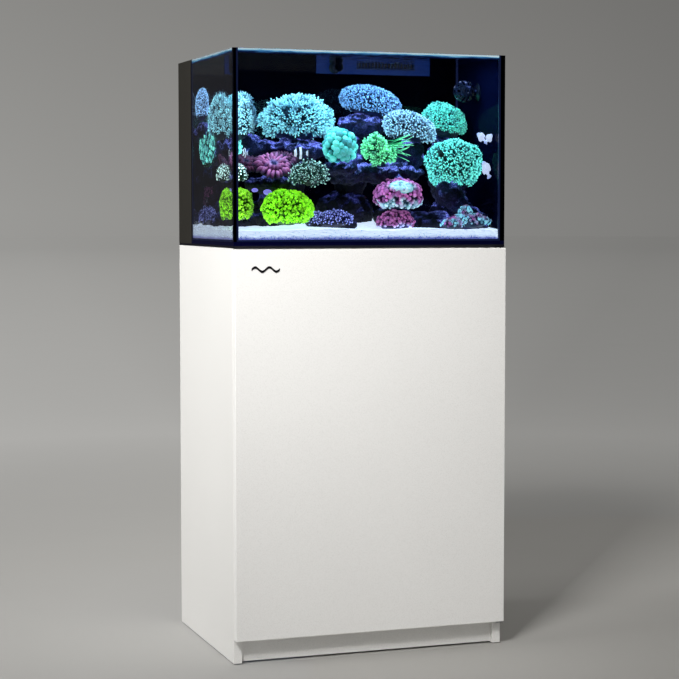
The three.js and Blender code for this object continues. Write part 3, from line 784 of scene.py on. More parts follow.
def sandPaint():
    paint = Paint("sand_coral_white", Roughness=0.9)
    grains = paint.cells(620.0)
    dots = paint.noise(900.0, 2.0, 0.7)
    cloud = paint.noise(25.0, 3.0)
    coarse = paint.noise(300.0, 3.0, 0.7)
    tone = paint.ramp(grains * 0.25 + dots * 0.25 + coarse * 0.5, (0.38, (0.10, 0.11, 0.28)),
                      (0.455, (0.62, 0.66, 0.80)), (0.55, (1.0, 1.0, 1.0)))
    # painted light: the bed glows in its own colour, dark blue low on its front and white higher up, as
    # painted shade under a lamp above
    level = paint.span(paint.axis("Z") + 0.006 * cloud + 0.012 * coarse, *sand["paintedShadeFoot"])
    colour = paint.mix(cloud * 0.2, tone, (0.80, 0.84, 0.95))
    glow = paint.ramp(level, (0.0, (0.012, 0.014, 0.09)), (0.34, (0.11, 0.13, 0.46)),
                      (0.66, (0.74, 0.86, 1.0)),
                      (1.0, (0.80, 0.90, 1.0)))
    paint.set(Base_Color=colour, Emission_Color=paint.times(colour, glow), Emission_Strength=1.25)
    paint.bump(grains * 0.5 + dots * 0.6, 0.0012)
    return paint.mat


def spreadSand():
    inset = sand["inset"]
    low = waterLow + Vector((1, 1, 1)) * inset
    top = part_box("sand_bed")[1].z
    high = Vector((waterHigh.x - inset, waterHigh.y - inset, top))
    cell = sand["cell"]
    bed = addGrid(low, high, 1.0, round((high.x - low.x) / cell), round((high.y - low.y) / cell))
    for vertex in bed.data.vertices:
        place = vertex.co
        back = (place.y - low.y) / (high.y - low.y)
        bank = 0.25 + 0.75 * min(1, max(0, (place.x + 0.27) / 0.16))
        behind = max(0, (back - sand["bankStart"]) / (1 - sand["bankStart"]))
        rise = sand["frontRise"] * min(1, back / sand["bankStart"]) + sand["bankRise"] * behind
        drift = noise.noise(Vector((place.x * 9, place.y * 9, 0.4))) * sand["drift"]
        pebble = noise.noise(Vector((place.x * 330, place.y * 330, 3.0))) * sand["grain"]
        place.z = low.z - inset + sand["depth"] + rise * bank + drift + pebble
    dropFloor(bed, low.z)
    for vertex in bed.data.vertices:
        if vertex.co.z > low.z and vertex.co.y < low.y + 0.0005:
            vertex.co.y += sand["frontSlope"]
    mergeFlats(bed)
    bed.name = "sand"
    finishPiece(bed, "cabinet", sandPaint(), ("sand_bed",), angle=math.radians(50))


spreadSand()
print("sand spread")


rocks = {
    "voxel": 0.0036,
    "coarse": 0.020,
    "fine": 0.009,
    "litAbove": (0.985, 1.02),
    "litBeyond": (0.16, 0.2),
}
looseRocks = {
    # each lump is a middle and three half sizes
    "rock_ledge_left": (0.7, ((-0.262, 0.062, 1.108), (0.026, 0.050, 0.018)),
                        ((-0.268, 0.100, 1.100), (0.022, 0.030, 0.016)),
                        ((-0.252, 0.020, 1.098), (0.026, 0.030, 0.014))),
    "rock_rubble_left": (0.7, ((-0.245, 0.050, 0.925), (0.030, 0.040, 0.022)),
                         ((-0.232, 0.000, 0.912), (0.026, 0.030, 0.016))),
    "rock_rubble_front": (0.7, ((-0.060, -0.128, 0.908), (0.050, 0.022, 0.014)),
                          ((-0.090, -0.118, 0.912), (0.022, 0.020, 0.016))),
    "rock_rubble_right": (0.7, ((0.238, -0.142, 0.905), (0.046, 0.030, 0.014)),
                          ((0.160, -0.120, 0.905), (0.030, 0.026, 0.016))),
    "rock_buttress_right": (0.5, ((0.196, -0.130, 0.975), (0.030, 0.030, 0.030)),
                            ((0.216, -0.138, 0.953), (0.026, 0.024, 0.022)),
                            ((0.240, -0.146, 0.934), (0.026, 0.020, 0.014)),
                            ((0.262, -0.150, 0.924), (0.020, 0.018, 0.010))),
    "rock_rubble_middle": (0.6, ((0.112, -0.105, 0.906), (0.040, 0.030, 0.020)),
                           ((0.140, -0.085, 0.912), (0.040, 0.030, 0.026)),
                           ((0.180, -0.100, 0.914), (0.036, 0.030, 0.024))),
}


def rockPaint():
    # dark underneath and blue and violet on what faces up, partly the crust's own colour and partly painted
    # light from above
    paint = Paint("live_rock_purple", Roughness=0.85)
    crust = paint.mark("crust")
    patch = paint.noise(34.0, 4.0, 0.6)
    pits = paint.cells(210.0)
    speck = paint.noise(300.0, 3.0, 0.7)
    tone = paint.ramp(patch, (0.36, (0.008, 0.008, 0.030)), (0.50, (0.022, 0.020, 0.085)),
                      (0.64, (0.05, 0.035, 0.14)), (0.78, (0.018, 0.035, 0.075)))
    bright = paint.ramp(speck, (0.36, (0.02, 0.02, 0.11)), (0.52, (0.12, 0.11, 0.46)),
                        (0.68, (0.48, 0.50, 0.95)))
    share = paint.ramp(crust + 0.5 * speck + 0.35 * patch, (0.66, (0, 0, 0)), (0.98, (1, 1, 1)))
    worn = paint.ramp(speck, (0.35, (0.25, 0.25, 0.32)), (0.56, (1, 1, 1)), (0.70, (2.0, 1.9, 2.4)))
    # painted highlight: the rock glows, brightest where it faces up and in the specks
    lit = paint.ramp(crust * 0.9 + speck * 0.7, (0.62, (0.0, 0.0, 0.0)), (1.0, (0.55, 0.75, 1.0)),
                     (1.25, (1.6, 1.9, 2.3)))
    # painted shade: below litAbove and left of litBeyond the rock is darkened to about a seventh
    high = paint.span(paint.axis("Z"), *rocks["litAbove"])
    right = paint.span(paint.axis("X"), *rocks["litBeyond"])
    paintedLitShare = paint.sum("MAXIMUM", high, right)
    colour = paint.mix(share, paint.times(tone, worn), bright)
    colour = paint.mix(paintedLitShare, paint.times(colour, (0.14, 0.14, 0.18)), colour)
    paint.set(Base_Color=colour, Emission_Color=paint.times(colour, lit), Emission_Strength=0.65)
    paint.bump(pits * 0.5 + speck * 0.6, 0.0028)
    return paint.mat


def cloudTexture(name, kind, size):
    texture = bpy.data.textures.new(name, kind)
    texture.noise_scale = size
    return texture


def roughenRock(rock, amount=1.0):
    remesh = rock.modifiers.new("even", "REMESH")
    remesh.mode = "VOXEL"
    remesh.voxel_size = rocks["voxel"]
    for name, kind, size, strength in (("lumps", "CLOUDS", 0.024, rocks["coarse"]),
                                       ("pits", "VORONOI", 0.013, rocks["fine"])):
        bulge = rock.modifiers.new(name, "DISPLACE")
        bulge.texture = cloudTexture(name, kind, size)
        bulge.texture_coords = "LOCAL"
        bulge.strength = strength * amount
        bulge.mid_level = 0.5
    applyModifiers(rock)
    # the mark grows as a face turns upwards: partly coralline crust, partly painted light from above
    crust = rock.data.attributes.new("crust", "FLOAT", "POINT")
    levels = [vertex.normal.z * 0.75 + 0.9 * noise.noise(vertex.co * 46) for vertex in rock.data.vertices]
    crust.data.foreach_set("value", [min(1, max(0, level)) for level in levels])


def keepInWater(piece, margin=0.0015):
    for vertex in piece.data.vertices:
        vertex.co.x = min(max(vertex.co.x, waterLow.x + margin), waterHigh.x - margin)
        vertex.co.y = min(max(vertex.co.y, waterLow.y + margin), waterHigh.y - margin)
        vertex.co.z = max(vertex.co.z, waterLow.z + margin)


def carveRocks():
    for name in ("rock_left", "rock_centre", "rock_right"):
        rock = nodes[name].copy()
        rock.data = nodes[name].data.copy()
        rock.parent = None
        for key in list(rock.keys()):
            del rock[key]
        scene.collection.objects.link(rock)
        editFaces(rock, lambda face: True)
        bpy.ops.mesh.remove_doubles(threshold=0.00002)
        closeEdit()
        roughenRock(rock)
        keepInWater(rock)
        rock.name = "live_" + name
        finishPiece(rock, "cabinet", rockMaterial, (name,))


def looseRock(name, amount, *lumps):
    # a few balls run together, then broken up like the large rocks
    parts = []
    for place, size in lumps:
        clearPicks()
        bpy.ops.mesh.primitive_ico_sphere_add(subdivisions=3, radius=1, location=place)
        bpy.context.object.scale = size
        settle(bpy.context.object)
        parts.append(bpy.context.object)
    rock = joinAll(name, parts)
    roughenRock(rock, amount)
    keepInWater(rock)
    return finishPiece(rock, "cabinet", rockMaterial)


rockMaterial = rockPaint()
carveRocks()
for name, lumps in looseRocks.items():
    looseRock(name, *lumps)
print("rocks carved")


def coralPaint(name, deep, middle, tip, glow=0.35, knee=0.48, fade=None):
    # painted shade between the polyps and low on them, partly their own paler tips; fade paints shade over it
    # from one x to another
    paint = Paint(name, Roughness=0.5)
    reach = paint.mark("tip")
    own = paint.mark("own")
    fleck = paint.noise(260.0, 3.0, 0.6)
    tone = paint.ramp(reach * 0.82 + fleck * 0.3 - 0.06, (0.08, deep), (knee, middle), (0.92, tip))
    depth = paint.ramp(own, (0.0, (0.26, 0.28, 0.36)), (0.5, (0.9, 0.9, 0.92)), (1.0, (1.4, 1.35, 1.3)))
    colour = paint.times(tone, depth)
    # painted highlight: the glow, partly fluorescence and partly painted light, is strongest at the tips
    paintedTipLight = paint.ramp(reach + fleck * 0.3, (0.35, (0.16, 0.18, 0.26)), (1.15, (1.35, 1.35, 1.35)))
    lit = paint.times(colour, paintedTipLight)
    if fade:
        share = paint.span(paint.axis("X"), *fade)
        lit = paint.mix(share, lit, (0, 0, 0))
        colour = paint.mix(share, colour, paint.times(colour, (0.35, 0.35, 0.4)))
    paint.set(Base_Color=colour, Emission_Color=lit, Emission_Strength=glow)
    paint.bump(fleck, 0.0006)
    return paint.mat


def twoTone(name, first, second, glow):
    # two coral colours, each with painted shade low down and brighter at the tips, partly their own paler
    # tips, shared out by the zone mark; the whole colour glows, partly fluorescence and partly painted light
    paint = Paint(name, Roughness=0.45)
    reach = paint.mark("tip")
    own = paint.mark("own")
    fleck = paint.noise(260.0, 3.0)
    tones = [paint.ramp(reach + fleck * 0.24 - 0.08, (0.18, low), (0.6, middle), (1.0, high))
             for low, middle, high in (first, second)]
    depth = paint.ramp(own, (0.0, (0.30, 0.30, 0.38)), (0.5, (0.9, 0.9, 0.95)), (1.0, (1.4, 1.35, 1.35)))
    colour = paint.times(paint.mix(paint.mark("zone"), *tones), depth)
    paint.set(Base_Color=colour, Emission_Color=colour, Emission_Strength=glow)
    paint.bump(fleck, 0.0008)
    return paint.mat


def growFinger(girth, height, sides=5, swell=1.25, point=0.55):
    # a stub drawn up in steps, fullest just below its tip
    clearPicks()
    bpy.ops.mesh.primitive_cylinder_add(vertices=sides, radius=girth * 0.8, depth=height * 0.4,
                                        location=(0, 0, height * 0.2))
    finger = bpy.context.object
    settle(finger)
    editFaces(finger, lambda face: face.normal.z > 0.9)
    pull((0, 0, height * 0.35), (0, 0, height * 0.75), (swell, swell, 1))
    pull((0, 0, height * 0.17), (0, 0, height * 0.92), (0.86, 0.86, 1))
    pull((0, 0, height * 0.08), (0, 0, height), (point, point, 1))
    closeEdit()
    markBy(finger, "tip", lambda place: max(0, place.z / height))
    return finger


def tufted(finger, spread, count, seed):
    # several fingers leaning out of one foot
    draw = random.Random(seed)
    parts = []
    for step in range(count):
        copy = finger.copy()
        copy.data = finger.data.copy()
        scene.collection.objects.link(copy)
        around = step * math.tau / count + draw.uniform(-0.3, 0.3)
        lean = spread * draw.uniform(0.7, 1.2)
        size = draw.uniform(0.8, 1.15)
        turn = Matrix.Rotation(around, 4, "Z") @ Matrix.Rotation(lean, 4, "Y")
        copy.data.transform(turn @ Matrix.Scale(size, 4))
        parts.append(copy)
    bpy.data.objects.remove(finger)
    return joinAll("tuft", parts)


def rosette(girth, height):
    # a flower-like head: a stalk, then a wide rim that dips in the middle
    bud = growFinger(girth * 0.5, height, 6, 1.5, 0.9)
    editFaces(bud, lambda face: face.normal.z > 0.95 and face.center.z > height * 0.9)
    bpy.ops.transform.resize(value=(2.2, 2.2, 1), center_override=(0, 0, height))
    bpy.ops.mesh.inset(thickness=girth * 0.28, depth=-height * 0.12)
    closeEdit()
    markBy(bud, "tip", lambda place: 0.35 if place.z > height * 0.75 and place.xy.length < girth * 0.45
           else max(0, place.z / height))
    return bud


def bubble(size):
    clearPicks()
    bpy.ops.mesh.primitive_ico_sphere_add(subdivisions=2, radius=size, location=(0, 0, size * 0.55))
    ball = bpy.context.object
    settle(ball)
    for vertex in ball.data.vertices:
        vertex.co.z *= 0.92
    markBy(ball, "tip", lambda place: min(1, max(0, 0.1 + 0.9 * place.z / (size * 1.2))))
    return ball


def ridgeLobe(length, width, height):
    # one puffed fold running outwards along x
    clearPicks()
    bpy.ops.mesh.primitive_uv_sphere_add(segments=10, ring_count=8, radius=1, location=(0, 0, 0),
                                         rotation=(0, math.pi / 2, 0))
    lobe = bpy.context.object
    lobe.scale = (height, width, length / 2)
    settle(lobe)
    for vertex in lobe.data.vertices:
        along = vertex.co.x / length + 0.5
        vertex.co.y *= 0.65 + 0.7 * along
        vertex.co.z *= 0.75 + 0.5 * along
        vertex.co.z -= 0.55 * height * max(0, along - 0.6) ** 2 * 6
        vertex.co.x += length / 2
    markBy(lobe, "tip", lambda place: min(1, max(0, 0.25 + 0.6 * place.z / height + 0.25 * place.x / length)))
    return lobe


def lumpyDirection(step, count, cut):
    height = 1 - (step + 0.5) / count * (1 - cut)
    around = step * 2.399963
    ring = math.sqrt(max(0, 1 - height * height))
    return Vector((ring * math.cos(around), ring * math.sin(around), height))


def lumpReach(way, lump, seed):
    swell = noise.noise(way * 1.9 + Vector((seed, seed * 0.7, 0)))
    swell += 0.5 * noise.noise(way * 4.2 + Vector((0, seed, seed * 1.3)))
    return 1 + lump * swell


def domeBody(centre, half, lump, seed, share, slant=0.0):
    clearPicks()
    bpy.ops.mesh.primitive_ico_sphere_add(subdivisions=4, radius=1, location=(0, 0, 0))
    body = bpy.context.object
    for vertex in body.data.vertices:
        way = vertex.co.normalized()
        reach = lumpReach(way, lump, seed) * share
        vertex.co = Vector((way.x * half[0], way.y * half[1], way.z * half[2])) * reach + centre
        vertex.co.z += slant * way.x * half[0] * reach
    markAll(body, "tip", 0.0)
    markAll(body, "own", 0.4)
    return body


def facing(way):
    return way.to_track_quat("Z", "Y").to_matrix().to_4x4()


def plantDome(name, centre, half, buds, count, seed, lump=0.10, cut=-0.55, share=0.84, lean=0.35,
              size=(0.8, 1.2), upward=0.0, slant=0.0):
    # sets copies of the buds all over a lumpy dome
    draw = random.Random(seed)
    centre = Vector(centre)
    parts = [domeBody(centre, half, lump, seed, share, slant)]
    for step in range(count):
        way = lumpyDirection(step, count, cut)
        way = (way + Vector((draw.gauss(0, 0.045), draw.gauss(0, 0.045), draw.gauss(0, 0.045)))).normalized()
        reach = lumpReach(way, lump, seed) * share
        place = centre + Vector((way.x * half[0], way.y * half[1], way.z * half[2])) * reach
        place.z += slant * way.x * half[0] * reach
        out = Vector((way.x / half[0], way.y / half[1], way.z / half[2])).normalized()
        out += Vector((draw.gauss(0, lean), draw.gauss(0, lean), draw.gauss(0, lean) + upward)) * 0.6
        bud = draw.choice(buds)
        copy = bud.copy()
        copy.data = bud.data.copy()
        scene.collection.objects.link(copy)
        turn = facing(out) @ Matrix.Rotation(draw.uniform(0, 6.28), 4, "Z")
        copy.data.transform(Matrix.Translation(place) @ turn @ Matrix.Scale(draw.uniform(*size), 4))
        markAll(copy, "own", draw.random())
        parts.append(copy)
    return joinAll(name, parts)


def clearBuds(buds):
    for bud in buds:
        bpy.data.objects.remove(bud)


def boxForm(name):
    low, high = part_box(name)
    return (low + high) / 2, (high - low) / 2


violetTones = ((0.02, 0.02, 0.10), (0.18, 0.20, 0.52), (0.65, 0.70, 1.0))
wineTones = ((0.006, 0.001, 0.012), (0.085, 0.018, 0.090), (0.55, 0.19, 0.40))
coralPaints = {
    "teal": coralPaint("coral_bush_teal", (0.001, 0.010, 0.028), (0.035, 0.23, 0.30), (0.30, 0.76, 0.82),
                       0.75),
    # the Side paints are lit copies, brighter and glowing more, for the corals along the left glass: painted
    # light, with painted shade from fade
    "tealSide": coralPaint("coral_bush_teal_side", (0.001, 0.012, 0.028), (0.07, 0.27, 0.34),
                           (0.42, 0.88, 0.98), 1.3, fade=(-0.262, -0.236)),
    "mint": coralPaint("coral_bubble_mint", (0.002, 0.08, 0.08), (0.035, 0.56, 0.46), (0.20, 0.95, 0.84),
                       0.45),
    "mintSide": coralPaint("coral_bubble_mint_side", (0.002, 0.08, 0.08), (0.06, 0.60, 0.52),
                           (0.30, 1.0, 0.9), 1.0),
    "blue": coralPaint("coral_dome_blue", (0.002, 0.006, 0.035), (0.035, 0.115, 0.26), (0.20, 0.42, 0.70),
                       0.65),
    "blueSide": coralPaint("coral_dome_blue_side", (0.002, 0.006, 0.035), (0.08, 0.20, 0.38),
                           (0.34, 0.62, 0.95), 1.7),
    "sky": coralPaint("coral_plate_sky", (0.003, 0.008, 0.035), (0.055, 0.15, 0.24), (0.38, 0.68, 0.84),
                      0.75, 0.58),
    "green": coralPaint("coral_dome_green", (0.001, 0.025, 0.03), (0.018, 0.34, 0.26), (0.15, 0.74, 0.58),
                        0.5),
    "sea": coralPaint("coral_dome_sea", (0.001, 0.03, 0.035), (0.03, 0.36, 0.31), (0.20, 0.90, 0.78), 0.8),
    "torch": coralPaint("coral_torch_green", (0.001, 0.04, 0.02), (0.02, 0.42, 0.14), (0.26, 1.0, 0.52), 0.7),
    "lime": coralPaint("coral_mound_lime", (0.012, 0.11, 0.003), (0.17, 0.74, 0.008), (0.36, 1.0, 0.03), 0.6),
    "limeSide": coralPaint("coral_mound_lime_side", (0.012, 0.10, 0.004), (0.17, 0.62, 0.01),
                           (0.42, 1.0, 0.05), 0.9, fade=(-0.275, -0.24)),
    "branch": coralPaint("coral_branch_pale", (0.001, 0.008, 0.006), (0.006, 0.05, 0.035), (0.55, 0.95, 0.88),
                         0.75, 0.78),
    "branchSide": coralPaint("coral_branch_pale_side", (0.001, 0.008, 0.006), (0.012, 0.07, 0.05),
                             (0.7, 1.0, 0.96), 2.2, 0.7, (-0.27, -0.25)),
    "violet": coralPaint("coral_frag_violet", (0.002, 0.002, 0.03), (0.02, 0.022, 0.18), (0.40, 0.45, 1.0),
                         0.7, 0.70),
    "mushroom": coralPaint("mushroom_violet_skin", (0.04, 0.03, 0.20), (0.12, 0.10, 0.52), (0.30, 0.26, 0.90),
                           0.8),
    "wine": twoTone("coral_flower_wine", wineTones, violetTones, 0.55),
    # wineDim is a painted-shade copy of the wine paint, at 0.4 of its brightness and with less glow
    "wineDim": twoTone("coral_flower_wine_dim", [[part * 0.4 for part in tone] for tone in wineTones],
                       [[part * 0.4 for part in tone] for tone in violetTones], 0.3),
    "red": twoTone("coral_dome_red", ((0.004, 0.001, 0.012), (0.09, 0.014, 0.08), (0.40, 0.12, 0.32)),
                   violetTones, 0.7),
    "pink": twoTone("coral_chalice_pink", ((0.004, 0.001, 0.012), (0.11, 0.012, 0.10), (0.60, 0.18, 0.50)),
                    ((0.004, 0.03, 0.06), (0.14, 0.38, 0.42), (0.60, 0.95, 1.0)), 0.7),
    "polyps": twoTone("coral_polyps_mixed", ((0.006, 0.002, 0.03), (0.12, 0.03, 0.14), (0.40, 0.14, 0.42)),
                      ((0.002, 0.02, 0.05), (0.04, 0.22, 0.32), (0.34, 0.82, 0.95)), 0.6),
}


def polypZone(place):
    return min(1, max(0, 0.75 + 1.9 * noise.noise(place * 60)))


def redZone(place):
    return min(1, max(0, (0.914 - place.z) * 90 + 2.2 * noise.noise(place * 55) - 0.4))


budKinds = {
    "tuft": lambda: [tufted(growFinger(0.0015, 0.0125, 4), 0.5, 4, 11),
                     tufted(growFinger(0.0017, 0.0105, 4), 0.55, 3, 12),
                     tufted(growFinger(0.0014, 0.014, 4), 0.42, 4, 13)],
    "bubble": lambda: [bubble(0.0073), bubble(0.0064), bubble(0.0081)],
    "short": lambda: [growFinger(0.0015, 0.0062, 4, 1.35, 0.6), growFinger(0.0018, 0.0054, 4, 1.3, 0.65),
                      tufted(growFinger(0.0012, 0.0064, 4), 0.5, 2, 17)],
    "plate": lambda: [growFinger(0.0017, 0.0088, 4, 1.3, 0.6),
                      tufted(growFinger(0.0014, 0.0095, 4), 0.45, 2, 19)],
    "sea": lambda: [tufted(growFinger(0.0015, 0.0085, 4), 0.55, 3, 21),
                    tufted(growFinger(0.0017, 0.0075, 4), 0.6, 3, 22)],
    "mixed": lambda: [tufted(growFinger(0.0014, 0.0078, 4, 1.35, 0.6), 0.55, 2, 23),
                      growFinger(0.0018, 0.0068, 4, 1.35, 0.6), rosette(0.0019, 0.0072)],
    "lime": lambda: [growFinger(0.0022, 0.0075, 5, 1.35, 0.65),
                     tufted(growFinger(0.0017, 0.0075, 4), 0.5, 3, 28)],
    "twig": lambda: [tufted(growFinger(0.0009, 0.017, 4, 1.9, 0.8), 0.5, 4, 30),
                     tufted(growFinger(0.0008, 0.014, 4, 2.0, 0.8), 0.6, 5, 31)],
    "twigSide": lambda: [tufted(growFinger(0.0017, 0.014, 4, 1.9, 0.8), 0.6, 3, 32)],
    "red": lambda: [bubble(0.0040), bubble(0.0033), growFinger(0.0030, 0.0068, 6, 1.3, 0.6)],
    "frag": lambda: [growFinger(0.0017, 0.0085, 4, 1.4, 0.5),
                     tufted(growFinger(0.0015, 0.009, 4, 1.4), 0.55, 3, 71)],
    "disc": lambda: [rosette(0.0030, 0.0060), rosette(0.0025, 0.0052)],
}
# a bed takes the place of a node, or stands at a middle with three half sizes; then come the kind of bud,
# the paint, the slot, the number of buds and the seed
coralBeds = {
    "bush_teal": ("bush_coral", "tuft", "teal", "coral_teal", 640, 3,
                  {"lump": 0.17, "share": 0.88, "size": (0.8, 1.3)}),
    "bush_teal_left": (((-0.256, -0.070, 1.126), (0.024, 0.084, 0.050)),
                       "tuft", "tealSide", "coral_teal", 420, 5,
                       {"lump": 0.12, "share": 0.88, "size": (0.7, 1.1)}),
    "bubble_mint": ("bubble_coral", "bubble", "mint", "coral_mint", 96, 7,
                    {"lump": 0.08, "cut": -0.85, "share": 0.80, "lean": 0.06}),
    "bubble_mint_left": (((-0.258, 0.030, 1.072), (0.026, 0.062, 0.041)),
                         "bubble", "mintSide", "coral_mint", 110, 8,
                         {"lump": 0.08, "cut": -0.85, "share": 0.80, "lean": 0.06, "size": (0.65, 0.9)}),
    "dome_blue": ("blue_dome_coral", "short", "blue", "coral_blue", 1700, 9,
                  {"lump": 0.08, "share": 0.90, "slant": -0.16}),
    "dome_blue_left": (((-0.261, 0.066, 1.163), (0.028, 0.044, 0.037)),
                       "short", "blueSide", "coral_blue", 700, 10,
                       {"lump": 0.08, "share": 0.88}),
    "plate_sky": ("blue_plate_coral", "plate", "sky", "coral_sky", 900, 11,
                  {"lump": 0.09, "share": 0.87, "slant": -0.18}),
    "dome_sea": ("teal_dome_coral", "sea", "green", "coral_green", 760, 13,
                 {"lump": 0.16, "share": 0.87, "slant": -0.15}),
    "dome_green": ("green_dome_coral", "mixed", "sea", "coral_green", 1750, 15,
                   {"lump": 0.14, "cut": -0.82, "share": 0.89}),
    "mound_lime": ("lime_coral", "lime", "lime", "coral_lime", 950, 19,
                   {"lump": 0.14, "cut": -0.75, "share": 0.89}),
    "mound_lime_left": (((-0.266, -0.129, 0.947), (0.021, 0.046, 0.034)),
                        "lime", "limeSide", "coral_lime", 420, 20,
                        {"lump": 0.1, "cut": -0.75, "share": 0.86}),
    "branch_pale": ("branch_coral", "twig", "branch", "coral_teal", 170, 21,
                    {"lump": 0.25, "cut": -0.3, "share": 0.66, "upward": 0.1}),
    "branch_pale_left": (((-0.268, -0.105, 1.010), (0.015, 0.066, 0.028)),
                         "twigSide", "branchSide", "coral_teal",
                         64, 22, {"lump": 0.3, "cut": -0.3, "share": 0.5, "upward": 0.1, "size": (0.6, 0.9)}),
    "dome_red": (((0.072, -0.142, 0.911), (0.040, 0.032, 0.025)), "red", "red", "coral_wine", 240, 63,
                 {"lump": 0.22, "cut": -0.3, "share": 0.86, "lean": 0.2}),
    "frag_violet": (((-0.068, -0.150, 0.916), (0.042, 0.028, 0.018)),
                    "frag", "violet", "coral_blue", 190, 262,
                    {"lump": 0.25, "cut": -0.2, "share": 0.8}),
    "frag_violet_left": (((-0.248, 0.040, 0.922), (0.034, 0.066, 0.018)),
                         "frag", "violet", "coral_blue", 230, 302,
                         {"lump": 0.25, "cut": -0.2, "share": 0.8}),
    "frag_violet_back": (((-0.105, -0.120, 0.915), (0.024, 0.020, 0.016)),
                         "frag", "violet", "coral_blue", 80, 152,
                         {"lump": 0.25, "cut": -0.2, "share": 0.8}),
    "polyps_right": (((0.236, -0.158, 0.912), (0.050, 0.030, 0.017)),
                     "disc", "polyps", "coral_teal", 260, 340,
                     {"lump": 0.2, "cut": -0.1, "share": 0.82, "lean": 0.25}),
    "polyps_stack": (((0.226, -0.160, 0.930), (0.013, 0.012, 0.016)),
                     "disc", "polyps", "coral_teal", 90, 170,
                     {"lump": 0.2, "cut": -0.1, "share": 0.82, "lean": 0.25}),
    "polyps_low": (((0.195, -0.168, 0.906), (0.026, 0.020, 0.012)), "disc", "polyps", "coral_teal", 110, 190,
                   {"lump": 0.2, "cut": -0.1, "share": 0.82, "lean": 0.25}),
}
zoneRules = {"polyps": polypZone, "red": redZone}
blueDomeDrop = Vector((0, 0, 0.004))


def plantBed(name, place, buds, paint, slot, count, seed, form):
    node = place if isinstance(place, str) else None
    centre, half = boxForm(node) if node else place
    if name == "dome_blue":
        centre = centre - blueDomeDrop
    bed = plantDome(name, centre, half, buds, count, seed, **form)
    if paint in zoneRules:
        markBy(bed, "zone", zoneRules[paint])
    if not node and name != "dome_red":
        keepInWater(bed)
    finishPiece(bed, "cabinet", coralPaints[paint], (node,) if node else ())


def plantCorals():
    for kind, makeBuds in budKinds.items():
        buds = makeBuds()
        for name, (place, wanted, *rest) in coralBeds.items():
            if wanted == kind:
                plantBed(name, place, buds, *rest)
        clearBuds(buds)


torch = {
    "heads": (("torch_head", (0.036, -0.106, 1.066), (0.024, 0.030, 0.030), 230, 17,
               {"lump": 0.3, "share": 0.78, "upward": 0.15}),
              ("torch_skirt", (0.052, -0.112, 1.050), (0.024, 0.024, 0.020), 160, 18,
               {"lump": 0.35, "share": 0.76, "upward": -0.2, "slant": 0.35})),
    "foot": (0.058, -0.108, 1.070),
    "arms": 30,
    "length": 0.060,
    "girth": 0.0011,
}


def growArms():
    # long thin arms swept to the right
    draw = random.Random(41)
    parts = []
    for step in range(torch["arms"]):
        arm = growFinger(torch["girth"], torch["length"] * draw.uniform(0.6, 1.0), 5, 1.0, 0.7)
        smooth = arm.modifiers.new("smooth", "SUBSURF")
        smooth.levels = smooth.render_levels = 1
        applyModifiers(arm)
        top = max(vertex.co.z for vertex in arm.data.vertices)
        sag = draw.uniform(-0.4, 0.9)
        for vertex in arm.data.vertices:
            share = vertex.co.z / top
            vertex.co.x += sag * top * 0.35 * share * share
        foot = Vector(torch["foot"]) + Vector((draw.uniform(-0.012, 0.012), draw.uniform(-0.02, 0.02),
                                               draw.uniform(-0.018, 0.014)))
        way = Vector((1, draw.uniform(-0.35, 0.3), draw.uniform(-0.15, 0.42)))
        turn = facing(way) @ Matrix.Rotation(draw.uniform(0, 6.28), 4, "Z")
        arm.data.transform(Matrix.Translation(foot) @ turn)
        markAll(arm, "own", draw.uniform(0.3, 0.8))
        parts.append(arm)
    return joinAll("torch_arms", parts)


def growTorch():
    buds = [growFinger(0.0018, 0.0105, 5, 1.3, 0.7), tufted(growFinger(0.0015, 0.011, 4), 0.5, 3, 26)]
    parts = [plantDome(name, centre, half, buds, count, seed, **form)
             for name, centre, half, count, seed, form in torch["heads"]]
    parts.append(growArms())
    piece = joinAll("torch_green", parts)
    finishPiece(piece, "cabinet", coralPaints["torch"], ("torch_coral",))
    clearBuds(buds)


flowers = {
    "rings": ((21, 0.18, 0.80, 0.03, 0.10), (14, 0.10, 0.50, 0.11, 0.30)),
    "offset": (-0.002, -0.004, -0.002),
    "backOffset": (0.026, 0.022, 0.012),
    "leftPlace": (-0.243, -0.075, 1.034),
}


def foldRidge(length, width, height, seed):
    # a long fold that humps twice on its way out and tucks under at the rim
    lobe = ridgeLobe(length, width, height)
    draw = random.Random(seed)
    phase = draw.uniform(0, 1.5)
    for vertex in lobe.data.vertices:
        along = vertex.co.x / length
        vertex.co.z += height * 0.30 * math.sin(along * 9 + phase) * max(0, vertex.co.z / height)
        vertex.co.y += width * 0.25 * math.sin(along * 5 + phase * 2)
    return lobe


